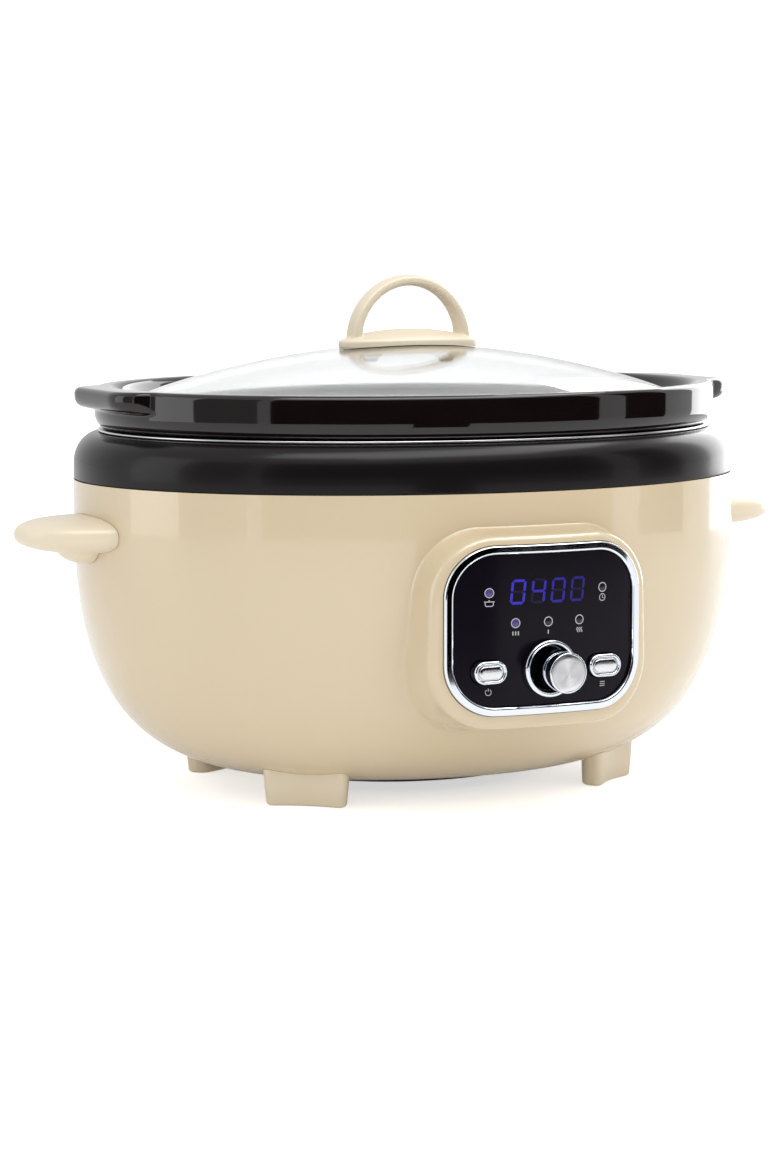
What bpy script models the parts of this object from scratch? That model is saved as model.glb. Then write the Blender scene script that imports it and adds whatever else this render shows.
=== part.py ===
"""Oval slow cooker with a lift-out stoneware crock, a domed glass lid and a front control panel.

Metres, +Z up, standing on z = 0. The length runs along X and the control panel faces -Y. The origin
is on the floor, midway between the left and right handles and midway between knob and rear wall.
"""

import math

import bmesh
import bpy
from mathutils import Matrix

# Clearances
GAP = 0.0003                    # between pieces that touch
HOLE_CLEARANCE = 0.0003         # radial, round a screw, a shaft or a button

# Oval body, given by its half sizes at the seam
BODY_HALF_LENGTH = 0.173
BODY_HALF_DEPTH = 0.1345
OVAL = BODY_HALF_DEPTH / BODY_HALF_LENGTH
OVAL_STEPS = 40
SEAM_Z = 0.155
SHELL_WALL = 0.0026
FLOOR_Z = 0.0115                # underside of the shell's flat floor
CURVE_DEPTH_Z = 0.008           # where the side curve would end if the floor didn't cut it
CURVE_INNER_HALF = 0.0608
CURVE_POWER_OUT = 2.67
CURVE_POWER_DOWN = 3.18
CURVE_ROWS = 8

# Collar ring above the seam
COLLAR_HEIGHT = 0.023
COLLAR_TOP_Z = SEAM_Z + COLLAR_HEIGHT
COLLAR_INSET = 0.013
COLLAR_STRAIGHT = 0.008
COLLAR_WALL = 0.0026
COLLAR_TONGUE = 0.008
COLLAR_ROWS = 4

# Heating well
WELL_SPACE = 0.0186             # between the shell's wall and the well, for heater and insulation
WELL_HALF = BODY_HALF_LENGTH - SHELL_WALL - WELL_SPACE
WELL_DRAFT = 0.0073             # how much narrower the well is where its corner begins
WELL_FLOOR_HALF = WELL_HALF - WELL_DRAFT
WELL_FLOOR_Z = 0.0415
WELL_CORNER = 0.020
WELL_WALL = 0.0010
WELL_LIP_WIDTH = 0.0085
WELL_LIP_THICK = 0.0012
CORNER_ROWS = 3

# Heater and insulation wrapped round the well
HEATER_LOW_Z = 0.074
HEATER_HIGH_Z = 0.118
HEATER_THICK = 0.0030
WRAP_THICK = 0.0050

# Crock
CROCK_STANDS = 0.0225           # above the collar
CROCK_TOP_Z = COLLAR_TOP_Z + CROCK_STANDS
RIM_OVERHANG = 0.0102           # past the inside of the well
RIM_HALF = WELL_HALF + RIM_OVERHANG
RIM_UNDERCUT = 0.0055           # how far the rim's lower edge curves in
RIM_STRAIGHT = 0.0115
RIM_ROUND = 0.0028
RIM_LAND = 0.0085               # flat top of the rim
CROCK_PLAY = 0.0016             # between the crock and the well
CROCK_WALL = 0.0075
CROCK_FLOOR = 0.0080
LEDGE_DROP = 0.0102             # from the rim's top to the ledge that holds the lid
LEDGE_WIDTH = 0.0075
LUG_LENGTH = 0.0075             # past the rim
LUG_REACH = RIM_HALF + LUG_LENGTH
LUG_HALF_WIDTH = 0.038
LUG_CORNER = 0.013
LUG_THICK = 0.0098

# Glass lid
LID_PLAY = 0.0015               # between the glass and the rim
LID_GLASS = 0.0038
LID_RISE = 0.0253               # from the glass's edge to its top
LID_POWER = 1.9
LID_RIM_FLAT = 0.004
LID_ROWS = 6

# Lid handle
GRIP_HALF_LENGTH = 0.038
GRIP_HALF_DEPTH = 0.0125
GRIP_EDGE = 0.0040
GRIP_CROWN = 0.0058
ARCH_RADIUS = 0.0327
ARCH_THICK = 0.0052
ARCH_WIDTH = 0.0100
ARCH_CENTRE_UP = 0.0038         # above the grip's underside
LID_SCREW_X = 0.021
LID_SCREW_RADIUS = 0.0019
LID_SCREW_GRIP = 0.0045         # how far the screw goes into the handle
LID_SCREW_HEAD = 0.0040
LID_SCREW_HEAD_THICK = 0.0022
WASHER_RADIUS = 0.0060
WASHER_THICK = 0.0012

# Side handles
HANDLE_LENGTH = 0.035           # from the body at the seam to the tip
HANDLE_TIP_X = BODY_HALF_LENGTH + HANDLE_LENGTH
HANDLE_DROP = 0.024             # below the seam
HANDLE_Z = SEAM_Z - HANDLE_DROP
HANDLE_ROOT_HALF_WIDTH = 0.0335
HANDLE_TIP_HALF_WIDTH = 0.0210
HANDLE_ROOT_HALF_THICK = 0.0098
HANDLE_TIP_HALF_THICK = 0.0058
HANDLE_BURIED = 0.020           # how far its form goes on inside the shell's face before it is cut
HANDLE_GUSSET_RADIUS = 0.0150
HANDLE_GUSSET_DROP = 0.0050
HANDLE_SCREW_Y = 0.016
HANDLE_SCREW_RADIUS = 0.0019
HANDLE_SCREW_GRIP = 0.012
HANDLE_SCREW_HEAD = 0.0038
HANDLE_SCREW_HEAD_THICK = 0.0022

# Feet
FOOT_INSET_X = 0.092            # from the body at the seam
FOOT_INSET_Y = 0.077
FOOT_X = BODY_HALF_LENGTH - FOOT_INSET_X
FOOT_Y = BODY_HALF_DEPTH - FOOT_INSET_Y
FOOT_TURN = math.radians(37)
FOOT_LENGTH = 0.040
FOOT_WIDTH = 0.0115
FOOT_CORNER = 0.0045
FOOT_TAPER = 0.93
FOOT_SCREW_RADIUS = 0.0019
FOOT_SCREW_HEAD = 0.0036
FOOT_SCREW_HEAD_THICK = 0.0022
FOOT_SCREW_GRIP = 0.007

# Base plate
OPENING_HALF = 0.050            # service opening in the shell's floor
PLATE_OVERLAP = 0.013
PLATE_HALF = OPENING_HALF + PLATE_OVERLAP
PLATE_LOW_Z = 0.0045
PLATE_THICK = 0.0025
PLATE_SCREW_ANGLE = math.radians(42)
PLATE_SCREW_RADIUS = 0.0016
PLATE_SCREW_HEAD = 0.0030
PLATE_SCREW_HEAD_THICK = 0.0018

# Control panel. Heights on it are measured from its centre.
PANEL_DROP = 0.0625             # below the seam
PANEL_Z = SEAM_Z - PANEL_DROP
PANEL_PROUD = 0.0193            # bezel face in front of the oval body
PANEL_BOW = 0.200               # radius of the panel's bow, seen from above

# Knob
KNOB_Z = PANEL_Z - 0.0184
KNOB_RING_RADIUS = 0.0135
KNOB_RING_HOLE = 0.0102
KNOB_RING_DEPTH = 0.0040
KNOB_RADIUS = 0.0095
KNOB_PROUD = 0.0205             # knob face in front of the fascia
KNOB_CAP_INSET = 0.0011
KNOB_CAP_RADIUS = KNOB_RADIUS - KNOB_CAP_INSET
KNOB_CAP_THICK = 0.0008
SHAFT_RADIUS = 0.0030
SHAFT_DEPTH = 0.0050            # how far the shaft goes into the encoder
ENCODER_SIDE = 0.0130

# Push buttons at both sides of the knob
BUTTON_LENGTH = 0.0170
BUTTON_HEIGHT = 0.0110
BUTTON_SPACE = 0.00815          # between the knob's ring and a button
BUTTON_X = KNOB_RING_RADIUS + BUTTON_SPACE + BUTTON_LENGTH / 2
BUTTON_Z = PANEL_Z - 0.0190
BUTTON_PROUD = 0.0036
BUTTON_TRAVEL = 0.0015
SWITCH_SIDE = 0.0062

# Indicator lamps and the display
LAMP_RADIUS = 0.0019
LAMP_ROWS = (
    (PANEL_Z + 0.0034, (-0.0168, 0.0, 0.0168)),
    (PANEL_Z + 0.0179, (-0.0298, 0.0298)),
)
LAMP_NAMES = (("high_lamp", "low_lamp", "warm_lamp"), ("cooking_lamp", "delay_lamp"))
DISPLAY_Z = PANEL_Z + 0.0175
DISPLAY_WIDTH = 0.0420
DISPLAY_HEIGHT = 0.0135

# Bezel, fascia and what stands behind them
BEZEL_FACE = 0.0042
BEZEL_MARGIN = 0.0085           # between a button and the bezel
BEZEL_WIDTH = 2 * (BUTTON_X + BUTTON_LENGTH / 2 + BEZEL_MARGIN + BEZEL_FACE)
BEZEL_HEIGHT = 0.0796
BEZEL_CORNER = 0.0245
BEZEL_DEPTH = 0.0100
BOSS_MARGIN = 0.0060
BOSS_SETBACK = 0.0020
FASCIA_RECESS = 0.0020
FASCIA_THICK = 0.0030
PCB_THICK = 0.0016
PCB_MARGIN = 0.0060
PCB_BACK = 0.0165               # front of the control board behind the bezel's face
COVER_BACK = 0.0215
COVER_THICK = 0.0025

# Under the well and at the rear
SENSOR_RADIUS = 0.0080
SENSOR_HEIGHT = 0.0100
BOARD_LENGTH = 0.080
BOARD_DEPTH = 0.052
BOARD_Z = 0.0185
RELAY_SIZE = (0.019, 0.0155, 0.0095)
RELAY_X = 0.022
FUSE_RADIUS = 0.0022
FUSE_LENGTH = 0.012
FUSE_X = -0.045
GLAND_Z = 0.062
GLAND_RADIUS = 0.0062
GLAND_FLANGE = 0.0092
GLAND_FLANGE_THICK = 0.0030
GLAND_INSIDE = 0.0030
GLAND_SEAT = 0.0016              # flange seat outside the curved wall, at the gland's centre
GLAND_BORE = 0.0036
LOOM_RADIUS = 0.0016
LOOM_X = -0.020
LOOM_RUN = 0.016
LOOM_SHARE = 0.55               # how far out in the space between well and shell it climbs

PANEL_FRONT = BODY_HALF_DEPTH + PANEL_PROUD
FRONT_REACH = PANEL_FRONT - FASCIA_RECESS + KNOB_PROUD
CENTRE_Y = (FRONT_REACH - BODY_HALF_DEPTH) / 2

FACING_FRONT = Matrix.Rotation(math.radians(90), 4, "X")    # local z becomes -Y, local y becomes Z
FACING_REAR = Matrix.Rotation(math.radians(-90), 4, "X")
FACING_DOWN = Matrix.Rotation(math.radians(180), 4, "X")


def clear_scene():
    for leftover in list(bpy.data.objects):
        bpy.data.objects.remove(leftover, do_unlink=True)


def new_collection(name):
    collection = bpy.data.collections.new(name)
    bpy.context.scene.collection.children.link(collection)
    return collection


clear_scene()
COOKER = new_collection("slow_cooker")
CUTTERS = new_collection("cutters")
CENTRE = bpy.data.objects.new("oval_centre", None)
CENTRE.location = (0.0, CENTRE_Y, 0.0)
COOKER.objects.link(CENTRE)


def finish_material(name, colour, roughness, metallic=0.0, transmission=0.0):
    material = bpy.data.materials.new(name)
    material.use_nodes = True
    shader = material.node_tree.nodes["Principled BSDF"]
    shader.inputs["Base Color"].default_value = (*colour, 1.0)
    shader.inputs["Roughness"].default_value = roughness
    shader.inputs["Metallic"].default_value = metallic
    shader.inputs["Transmission Weight"].default_value = transmission
    return material


FINISHES = {
    "cream_gloss": ((0.72, 0.61, 0.43), 0.18, 0.0, 0.0),
    "cream_satin": ((0.80, 0.72, 0.55), 0.35, 0.0, 0.0),
    "dark_satin": ((0.055, 0.048, 0.052), 0.35, 0.0, 0.0),
    "glaze": ((0.022, 0.014, 0.015), 0.06, 0.0, 0.0),
    "glass": ((0.95, 0.97, 0.97), 0.02, 0.0, 1.0),
    "chrome": ((0.80, 0.80, 0.81), 0.06, 1.0, 0.0),
    "spun_aluminium": ((0.78, 0.78, 0.79), 0.28, 1.0, 0.0),
    "black_gloss": ((0.012, 0.010, 0.016), 0.08, 0.0, 0.0),
    "black_plastic": ((0.02, 0.02, 0.02), 0.45, 0.0, 0.0),
    "sheet_metal": ((0.62, 0.62, 0.62), 0.32, 1.0, 0.0),
    "steel": ((0.50, 0.50, 0.50), 0.30, 1.0, 0.0),
    "silicone": ((0.75, 0.75, 0.73), 0.60, 0.0, 0.0),
    "board_green": ((0.02, 0.12, 0.05), 0.45, 0.0, 0.0),
    "mica": ((0.55, 0.45, 0.30), 0.50, 0.0, 0.0),
    "glass_wool": ((0.80, 0.78, 0.70), 0.95, 0.0, 0.0),
    "lamp": ((0.55, 0.52, 0.75), 0.30, 0.0, 0.4),
}


def place(obj, matrix, collection, parent=None):
    collection.objects.link(obj)
    obj.parent = parent or CENTRE
    obj.matrix_parent_inverse = Matrix.Identity(4)
    obj.matrix_basis = matrix
    return obj


def make_piece(name, mesh, finish, matrix=None, parent=None):
    """Adds a sub-part with its own material."""
    piece = bpy.data.objects.new(name, mesh)
    mesh.materials.clear()
    mesh.materials.append(finish_material(name + "_finish", *FINISHES[finish]))
    return place(piece, matrix or Matrix.Identity(4), COOKER, parent)


def make_cutter(name, mesh, matrix=None, parent=None):
    cutter = bpy.data.objects.new(name, mesh)
    cutter.hide_render = True
    cutter.display_type = "WIRE"
    return place(cutter, matrix or Matrix.Identity(4), CUTTERS, parent)


def axis_empty(name, x, y, z):
    """An empty on a joint's axis, in the oval's frame."""
    empty = bpy.data.objects.new(name, None)
    return place(empty, Matrix.Translation((x, y, z)), COOKER)


def combine(piece, other, operation="DIFFERENCE"):
    modifier = piece.modifiers.new(other.name, "BOOLEAN")
    modifier.solver = "EXACT"
    modifier.operation = operation
    modifier.object = other


def shade_round(mesh, angle=35):
    mesh.shade_smooth()
    mesh.set_sharp_from_angle(angle=math.radians(angle))


# Meshes

def profile_mesh(name, outline, ring):
    """A profile in the XZ plane. A ring's outline is closed; any other begins and ends on the axis."""
    mesh = bpy.data.meshes.new(name)
    points = [(radius, 0.0, height) for radius, height in outline]
    edges = [(index, index + 1) for index in range(len(points) - 1)]
    if ring:
        edges.append((len(points) - 1, 0))
    mesh.from_pydata(points, edges, [])
    return mesh


def turn(obj, steps):
    screw = obj.modifiers.new("turn", "SCREW")
    screw.steps = steps
    screw.render_steps = steps
    screw.use_merge_vertices = True
    screw.merge_threshold = 0.00001
    screw.use_smooth_shade = True


def oval_piece(name, outline, finish, ring=False, parent=None, height=0.0):
    """A piece turned round Z and squeezed in depth to the body's oval."""
    matrix = Matrix.Translation((0, 0, height)) @ Matrix.Diagonal((1, OVAL, 1, 1))
    piece = make_piece(name, profile_mesh(name, outline, ring), finish, matrix, parent)
    turn(piece, OVAL_STEPS)
    return piece


def oval_cutter(name, outline, ring=False, parent=None, height=0.0):
    matrix = Matrix.Translation((0, 0, height)) @ Matrix.Diagonal((1, OVAL, 1, 1))
    cutter = make_cutter(name, profile_mesh(name, outline, ring), matrix, parent)
    turn(cutter, OVAL_STEPS)
    return cutter


def cylinder_outline(radius, high, low):
    return [(0.0, high), (radius, high), (radius, low), (0.0, low)]


def round_piece(name, outline, finish, matrix, steps=16, ring=False, parent=None):
    piece = make_piece(name, profile_mesh(name, outline, ring), finish, matrix, parent)
    turn(piece, steps)
    return piece


def round_cutter(name, radius, high, low, matrix, steps=8, parent=None):
    outline = cylinder_outline(radius, high, low)
    cutter = make_cutter(name, profile_mesh(name, outline, False), matrix, parent)
    turn(cutter, steps)
    return cutter


def screw_outline(head_radius, head_thick, shank_radius, shank_length):
    """A pan-head screw: the head's underside is at zero and the shank goes down."""
    crown = 0.6 * head_radius
    return [
        (0.0, head_thick), (crown, head_thick), (head_radius, 0.4 * head_thick), (head_radius, 0.0),
        (shank_radius, 0.0), (shank_radius, -shank_length), (0.0, -shank_length),
    ]


def rounded_rectangle(width, height, corner, corner_points=6):
    """Anticlockwise outline about the origin, with an arc at each corner."""
    points = []
    for quarter, (side_x, side_y) in enumerate(((1, 1), (-1, 1), (-1, -1), (1, -1))):
        centre_x = side_x * (width / 2 - corner)
        centre_y = side_y * (height / 2 - corner)
        for step in range(corner_points + 1):
            angle = math.radians(90) * (quarter + step / corner_points)
            points.append((centre_x + corner * math.cos(angle), centre_y + corner * math.sin(angle)))
    return points


def plate_mesh(name, outlines, front, back):
    """A flat plate from `back` to `front` along local z; the outlines after the first are holes."""
    curve = bpy.data.curves.new(name, "CURVE")
    curve.dimensions = "2D"
    curve.fill_mode = "BOTH"
    curve.extrude = (front - back) / 2
    for outline in outlines:
        spline = curve.splines.new("POLY")
        spline.points.add(len(outline) - 1)
        spline.use_cyclic_u = True
        for point, (x, y) in zip(spline.points, outline):
            point.co = (x, y, 0.0, 1.0)
    return mesh_from_curve(name, curve, Matrix.Translation((0, 0, (front + back) / 2)))


def mesh_from_curve(name, curve, matrix):
    """The curve as a welded mesh, with its place in the mesh."""
    carrier = bpy.data.objects.new(name, curve)
    bpy.context.scene.collection.objects.link(carrier)
    bpy.context.view_layer.update()
    graph = bpy.context.evaluated_depsgraph_get()
    mesh = bpy.data.meshes.new_from_object(carrier.evaluated_get(graph))
    bpy.data.objects.remove(carrier, do_unlink=True)
    mesh.transform(matrix)
    work = bmesh.new()
    work.from_mesh(mesh)
    bmesh.ops.remove_doubles(work, verts=work.verts, dist=0.000001)
    work.to_mesh(mesh)
    work.free()
    return mesh


def box_mesh(name, size):
    mesh = bpy.data.meshes.new(name)
    work = bmesh.new()
    bmesh.ops.create_cube(work, size=1.0, matrix=Matrix.Diagonal((*size, 1)))
    work.to_mesh(mesh)
    work.free()
    return mesh


# Shell, collar and base

def side_curve(offset, top_z):
    """The shell's side from the seam to the floor, moved inwards by `offset` (outwards if negative)."""
    half = BODY_HALF_LENGTH - offset
    low = CURVE_DEPTH_Z + offset
    floor = FLOOR_Z + offset
    end_angle = math.asin(((SEAM_Z - floor) / (SEAM_Z - low)) ** (CURVE_POWER_DOWN / 2))
    points = [(half, top_z)] if top_z > SEAM_Z else []
    for row in range(CURVE_ROWS + 1):
        angle = end_angle * row / CURVE_ROWS
        out = math.cos(angle) ** (2 / CURVE_POWER_OUT)
        down = math.sin(angle) ** (2 / CURVE_POWER_DOWN)
        reach = CURVE_INNER_HALF + (half - CURVE_INNER_HALF) * out
        points.append((reach, SEAM_Z - (SEAM_Z - low) * down))
    return points


def shell_solid(offset, top_z):
    """Outline of everything inside the shell's surface moved in by `offset`."""
    curve = side_curve(offset, top_z)
    return [(0.0, curve[0][1])] + curve + [(0.0, curve[-1][1])]


def shell_half_at(offset, z):
    """Half length of the side curve at height z."""
    drop = (SEAM_Z - z) / (SEAM_Z - CURVE_DEPTH_Z - offset)
    out = (1 - min(drop, 1.0) ** CURVE_POWER_DOWN) ** (1 / CURVE_POWER_OUT)
    return CURVE_INNER_HALF + (BODY_HALF_LENGTH - offset - CURVE_INNER_HALF) * out


def oval_reach(x, y):
    """Half length of the oval of the body's shape that passes through (x, y)."""
    return math.hypot(x, y / OVAL)


def shell_floor_at(offset, reach):
    """Height of the shell's surface where an oval of this half length meets it."""
    curve = side_curve(offset, SEAM_Z)
    for (outer, high), (inner, low) in zip(curve, curve[1:]):
        if inner <= reach <= outer:
            return low + (high - low) * (reach - inner) / (outer - inner)
    return curve[-1][1]


def boss_mesh():
    outline = rounded_rectangle(
        BEZEL_WIDTH + 2 * BOSS_MARGIN, BEZEL_HEIGHT + 2 * BOSS_MARGIN, BEZEL_CORNER + BOSS_MARGIN, 8
    )
    return plate_mesh("panel_boss", [outline], PANEL_FRONT, BODY_HALF_DEPTH / 2)


def bow_cutter(name, setback, depth):
    """A turned ring whose outer face is the panel's bow, set back from the bezel's face."""
    outer = PANEL_BOW - setback
    inner = outer - depth
    high = BEZEL_HEIGHT / 2 + 2 * BOSS_MARGIN
    outline = [(outer, high), (outer, -high), (inner, -high), (inner, high)]
    matrix = Matrix.Translation((0, PANEL_BOW - PANEL_FRONT, PANEL_Z))
    cutter = make_cutter(name, profile_mesh(name, outline, True), matrix)
    turn(cutter, 144)
    return cutter


def panel_matrix(x=0.0, z=PANEL_Z):
    """Local z points to the front; local zero is the oval's centre plane."""
    return Matrix.Translation((x, 0, z)) @ FACING_FRONT


def make_outer_shell():
    shell = oval_piece("outer_shell", shell_solid(0.0, SEAM_Z), "cream_gloss")
    boss = make_cutter("boss_block", boss_mesh(), panel_matrix())
    combine(boss, bow_cutter("boss_bow", BOSS_SETBACK, PANEL_FRONT / 2), "INTERSECT")
    combine(shell, boss, "UNION")
    combine(shell, oval_cutter("shell_cavity", shell_solid(SHELL_WALL, SEAM_Z + SHELL_WALL)))
    opening = cylinder_outline(OPENING_HALF, FLOOR_Z + 2 * SHELL_WALL, FLOOR_Z - SHELL_WALL)
    combine(shell, oval_cutter("floor_opening", opening))
    pocket = rounded_rectangle(
        BEZEL_WIDTH + 2 * GAP, BEZEL_HEIGHT + 2 * GAP, BEZEL_CORNER + GAP, 6
    )
    pocket_mesh = plate_mesh("panel_pocket", [pocket], PANEL_FRONT + GAP, BODY_HALF_DEPTH / 2)
    combine(shell, make_cutter("panel_pocket", pocket_mesh, panel_matrix()))
    return shell


def make_collar_ring():
    """Upright at the seam, then a quarter round in to the well's lip, with a tongue inside the shell."""
    outer = BODY_HALF_LENGTH - GAP
    bend_z = SEAM_Z + COLLAR_STRAIGHT
    rise = COLLAR_TOP_Z - bend_z
    outline = []
    for row in range(COLLAR_ROWS + 1):
        angle = math.radians(90) * (1 - row / COLLAR_ROWS)
        across = outer - COLLAR_INSET + COLLAR_INSET * math.cos(angle)
        outline.append((across, bend_z + rise * math.sin(angle)))
    tongue = BODY_HALF_LENGTH - SHELL_WALL - GAP
    outline.append((outer, SEAM_Z + GAP))
    outline.append((tongue, SEAM_Z + GAP))
    outline.append((tongue, SEAM_Z - COLLAR_TONGUE))
    outline.append((tongue - COLLAR_WALL, SEAM_Z - COLLAR_TONGUE))
    for row in range(COLLAR_ROWS + 1):
        angle = math.radians(90) * row / COLLAR_ROWS
        inset = COLLAR_INSET - COLLAR_WALL
        across = tongue - COLLAR_WALL - inset + inset * math.cos(angle)
        outline.append((across, bend_z + (rise - COLLAR_WALL) * math.sin(angle)))
    return oval_piece("collar_ring", outline, "dark_satin", ring=True)


def make_base_plate():
    high = FLOOR_Z - GAP
    inner_half = OPENING_HALF - 2 * SHELL_WALL
    outline = [
        (0.0, PLATE_LOW_Z + PLATE_THICK), (inner_half, PLATE_LOW_Z + PLATE_THICK), (inner_half, high),
        (PLATE_HALF, high), (PLATE_HALF, PLATE_LOW_Z + PLATE_THICK / 2),
        (PLATE_HALF - PLATE_THICK / 2, PLATE_LOW_Z), (0.0, PLATE_LOW_Z),
    ]
    return oval_piece("base_plate", outline, "black_plastic")


def make_base_screws(shell, plate):
    """Four screws from below, through the plate's rim into the shell's floor."""
    reach = (PLATE_HALF + OPENING_HALF) / 2
    head_z = PLATE_LOW_Z + PLATE_SCREW_HEAD_THICK + 2 * GAP
    length = FLOOR_Z + SHELL_WALL - GAP - head_z
    outline = screw_outline(
        PLATE_SCREW_HEAD, PLATE_SCREW_HEAD_THICK, PLATE_SCREW_RADIUS, length
    )
    number = 0
    for side_y in (-1, 1):
        for side_x in (-1, 1):
            number += 1
            x = side_x * reach * math.cos(PLATE_SCREW_ANGLE)
            y = side_y * reach * math.sin(PLATE_SCREW_ANGLE) * OVAL
            name = f"base_screw_{number}"
            at_head = Matrix.Translation((x, y, head_z)) @ FACING_DOWN
            round_piece(name, outline, "steel", at_head, 8)
            head_hole = round_cutter(
                name + "_counterbore", PLATE_SCREW_HEAD + HOLE_CLEARANCE, PLATE_LOW_Z, -GAP, at_head
            )
            combine(plate, head_hole)
            hole = round_cutter(
                name + "_hole", PLATE_SCREW_RADIUS + HOLE_CLEARANCE, GAP, -FLOOR_Z - SHELL_WALL, at_head
            )
            combine(plate, hole)
            combine(shell, hole)


def foot_mesh(name):
    """A rounded block, standing on z = 0 and a little narrower at the floor."""
    top = shell_floor_at(0.0, oval_reach(FOOT_X, FOOT_Y) + FOOT_LENGTH / 2)
    outline = rounded_rectangle(FOOT_LENGTH, FOOT_WIDTH, FOOT_CORNER, 4)
    mesh = plate_mesh(name, [outline], top, 0.0)
    for vertex in mesh.vertices:
        if vertex.co.z < top / 2:
            vertex.co.x *= FOOT_TAPER
            vertex.co.y *= FOOT_TAPER
    return mesh


def make_feet(shell):
    """Four feet, each held by a screw from inside the shell."""
    around_shell = oval_cutter("shell_over_feet", shell_solid(-GAP, SEAM_Z))
    reach = oval_reach(FOOT_X, FOOT_Y)
    head_z = shell_floor_at(SHELL_WALL, reach + FOOT_SCREW_HEAD / OVAL) + GAP
    length = head_z - shell_floor_at(0.0, reach) + FOOT_SCREW_GRIP
    outline = screw_outline(FOOT_SCREW_HEAD, FOOT_SCREW_HEAD_THICK, FOOT_SCREW_RADIUS, length)
    for end, side_y in (("front", -1), ("rear", 1)):
        for hand, side_x in (("left", -1), ("right", 1)):
            name = f"{end}_{hand}_foot"
            x, y = side_x * FOOT_X, side_y * FOOT_Y
            turn_z = -side_x * side_y * FOOT_TURN
            matrix = Matrix.Translation((x, y, 0)) @ Matrix.Rotation(turn_z, 4, "Z")
            foot = make_piece(name, foot_mesh(name), "cream_satin", matrix)
            combine(foot, around_shell)
            at_head = Matrix.Translation((x, y, head_z))
            round_piece(name + "_screw", outline, "steel", at_head, 8)
            hole = round_cutter(
                name + "_screw_hole", FOOT_SCREW_RADIUS + HOLE_CLEARANCE, GAP, -length - GAP, at_head
            )
            combine(foot, hole)
            combine(shell, hole)


# Side handles

def handle_mesh(name):
    """A flattened wing along X with a blunt, rounded tip, from a sphere whose poles lie on X."""
    mesh = bpy.data.meshes.new(name)
    work = bmesh.new()
    along_x = Matrix.Rotation(math.radians(90), 4, "Y")
    bmesh.ops.create_uvsphere(work, u_segments=16, v_segments=12, radius=1.0, matrix=along_x)
    start_x = BODY_HALF_LENGTH - HANDLE_BURIED
    middle_x = (start_x + HANDLE_TIP_X) / 2
    half_length = (HANDLE_TIP_X - start_x) / 2
    for vertex in work.verts:
        x, y, z = vertex.co
        around = max(math.hypot(y, z), 0.000001)
        blunt = max(1 - abs(x) ** 3, 0.0) ** (1 / 2.4)
        share = (x + 1) / 2
        half_width = HANDLE_ROOT_HALF_WIDTH + share * (HANDLE_TIP_HALF_WIDTH - HANDLE_ROOT_HALF_WIDTH)
        half_thick = HANDLE_ROOT_HALF_THICK + share * (HANDLE_TIP_HALF_THICK - HANDLE_ROOT_HALF_THICK)
        vertex.co.x = middle_x + half_length * x
        vertex.co.y = half_width * blunt * math.copysign(abs(y / around) ** 0.75, y)
        vertex.co.z = half_thick * blunt * math.copysign(abs(z / around) ** 0.75, z)
    work.to_mesh(mesh)
    work.free()
    shade_round(mesh, 60)
    return mesh


def gusset_mesh():
    """The rounded bracket under a handle's root; its crown stays inside the handle."""
    mesh = bpy.data.meshes.new("gusset")
    work = bmesh.new()
    crown_z = HANDLE_ROOT_HALF_THICK / 3
    foot_z = -HANDLE_ROOT_HALF_THICK - HANDLE_GUSSET_DROP
    squash = (crown_z - foot_z) / 2 / HANDLE_GUSSET_RADIUS
    matrix = Matrix.Translation((0, 0, (crown_z + foot_z) / 2)) @ Matrix.Diagonal((1, 1, squash, 1))
    bmesh.ops.create_uvsphere(
        work, u_segments=16, v_segments=8, radius=HANDLE_GUSSET_RADIUS, matrix=matrix
    )
    work.to_mesh(mesh)
    work.free()
    return mesh


def make_side_handles(shell):
    around_shell = oval_cutter("shell_over_handles", shell_solid(-GAP, SEAM_Z))
    facet = math.cos(math.pi / OVAL_STEPS)
    inside_x = shell_half_at(SHELL_WALL, HANDLE_Z) * facet
    inside_x *= math.sqrt(1 - (HANDLE_SCREW_Y / BODY_HALF_DEPTH) ** 2)
    head_x = inside_x - HANDLE_SCREW_HEAD * math.tan(math.radians(12)) - GAP
    length = BODY_HALF_LENGTH - head_x + HANDLE_SCREW_GRIP
    outline = screw_outline(
        HANDLE_SCREW_HEAD, HANDLE_SCREW_HEAD_THICK, HANDLE_SCREW_RADIUS, length
    )
    for hand, side in (("left", -1), ("right", 1)):
        facing = Matrix.Rotation(math.radians(180 if side < 0 else 0), 4, "Z")
        matrix = Matrix.Translation((0, 0, HANDLE_Z)) @ facing
        name = f"{hand}_handle"
        handle = make_piece(name, handle_mesh(name), "cream_satin", matrix)
        gusset_x = side * (BODY_HALF_LENGTH + GAP)
        gusset = make_cutter(name + "_gusset", gusset_mesh(), Matrix.Translation((gusset_x, 0, HANDLE_Z)))
        combine(handle, gusset, "UNION")
        combine(handle, around_shell)
        for end, side_y in (("front", -1), ("rear", 1)):
            screw = f"{hand}_handle_{end}_screw"
            from_inside = Matrix.Rotation(math.radians(-90 * side), 4, "Y")
            at_head = Matrix.Translation((side * head_x, side_y * HANDLE_SCREW_Y, HANDLE_Z)) @ from_inside
            round_piece(screw, outline, "steel", at_head, 8)
            hole = round_cutter(
                screw + "_hole", HANDLE_SCREW_RADIUS + HOLE_CLEARANCE, GAP, -length - GAP, at_head
            )
            combine(shell, hole)
            combine(handle, hole)


# Heating well, heater and what sits under it

def well_corner(half, floor_z, radius):
    """A round corner from the wall, `half` from the axis, in to the floor."""
    points = []
    for row in range(CORNER_ROWS + 1):
        angle = math.radians(90) * row / CORNER_ROWS
        out = half - radius + radius * math.cos(angle)
        points.append((out, floor_z + radius * (1 - math.sin(angle))))
    return points


def lip_top():
    return COLLAR_TOP_Z + GAP + WELL_LIP_THICK


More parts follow.
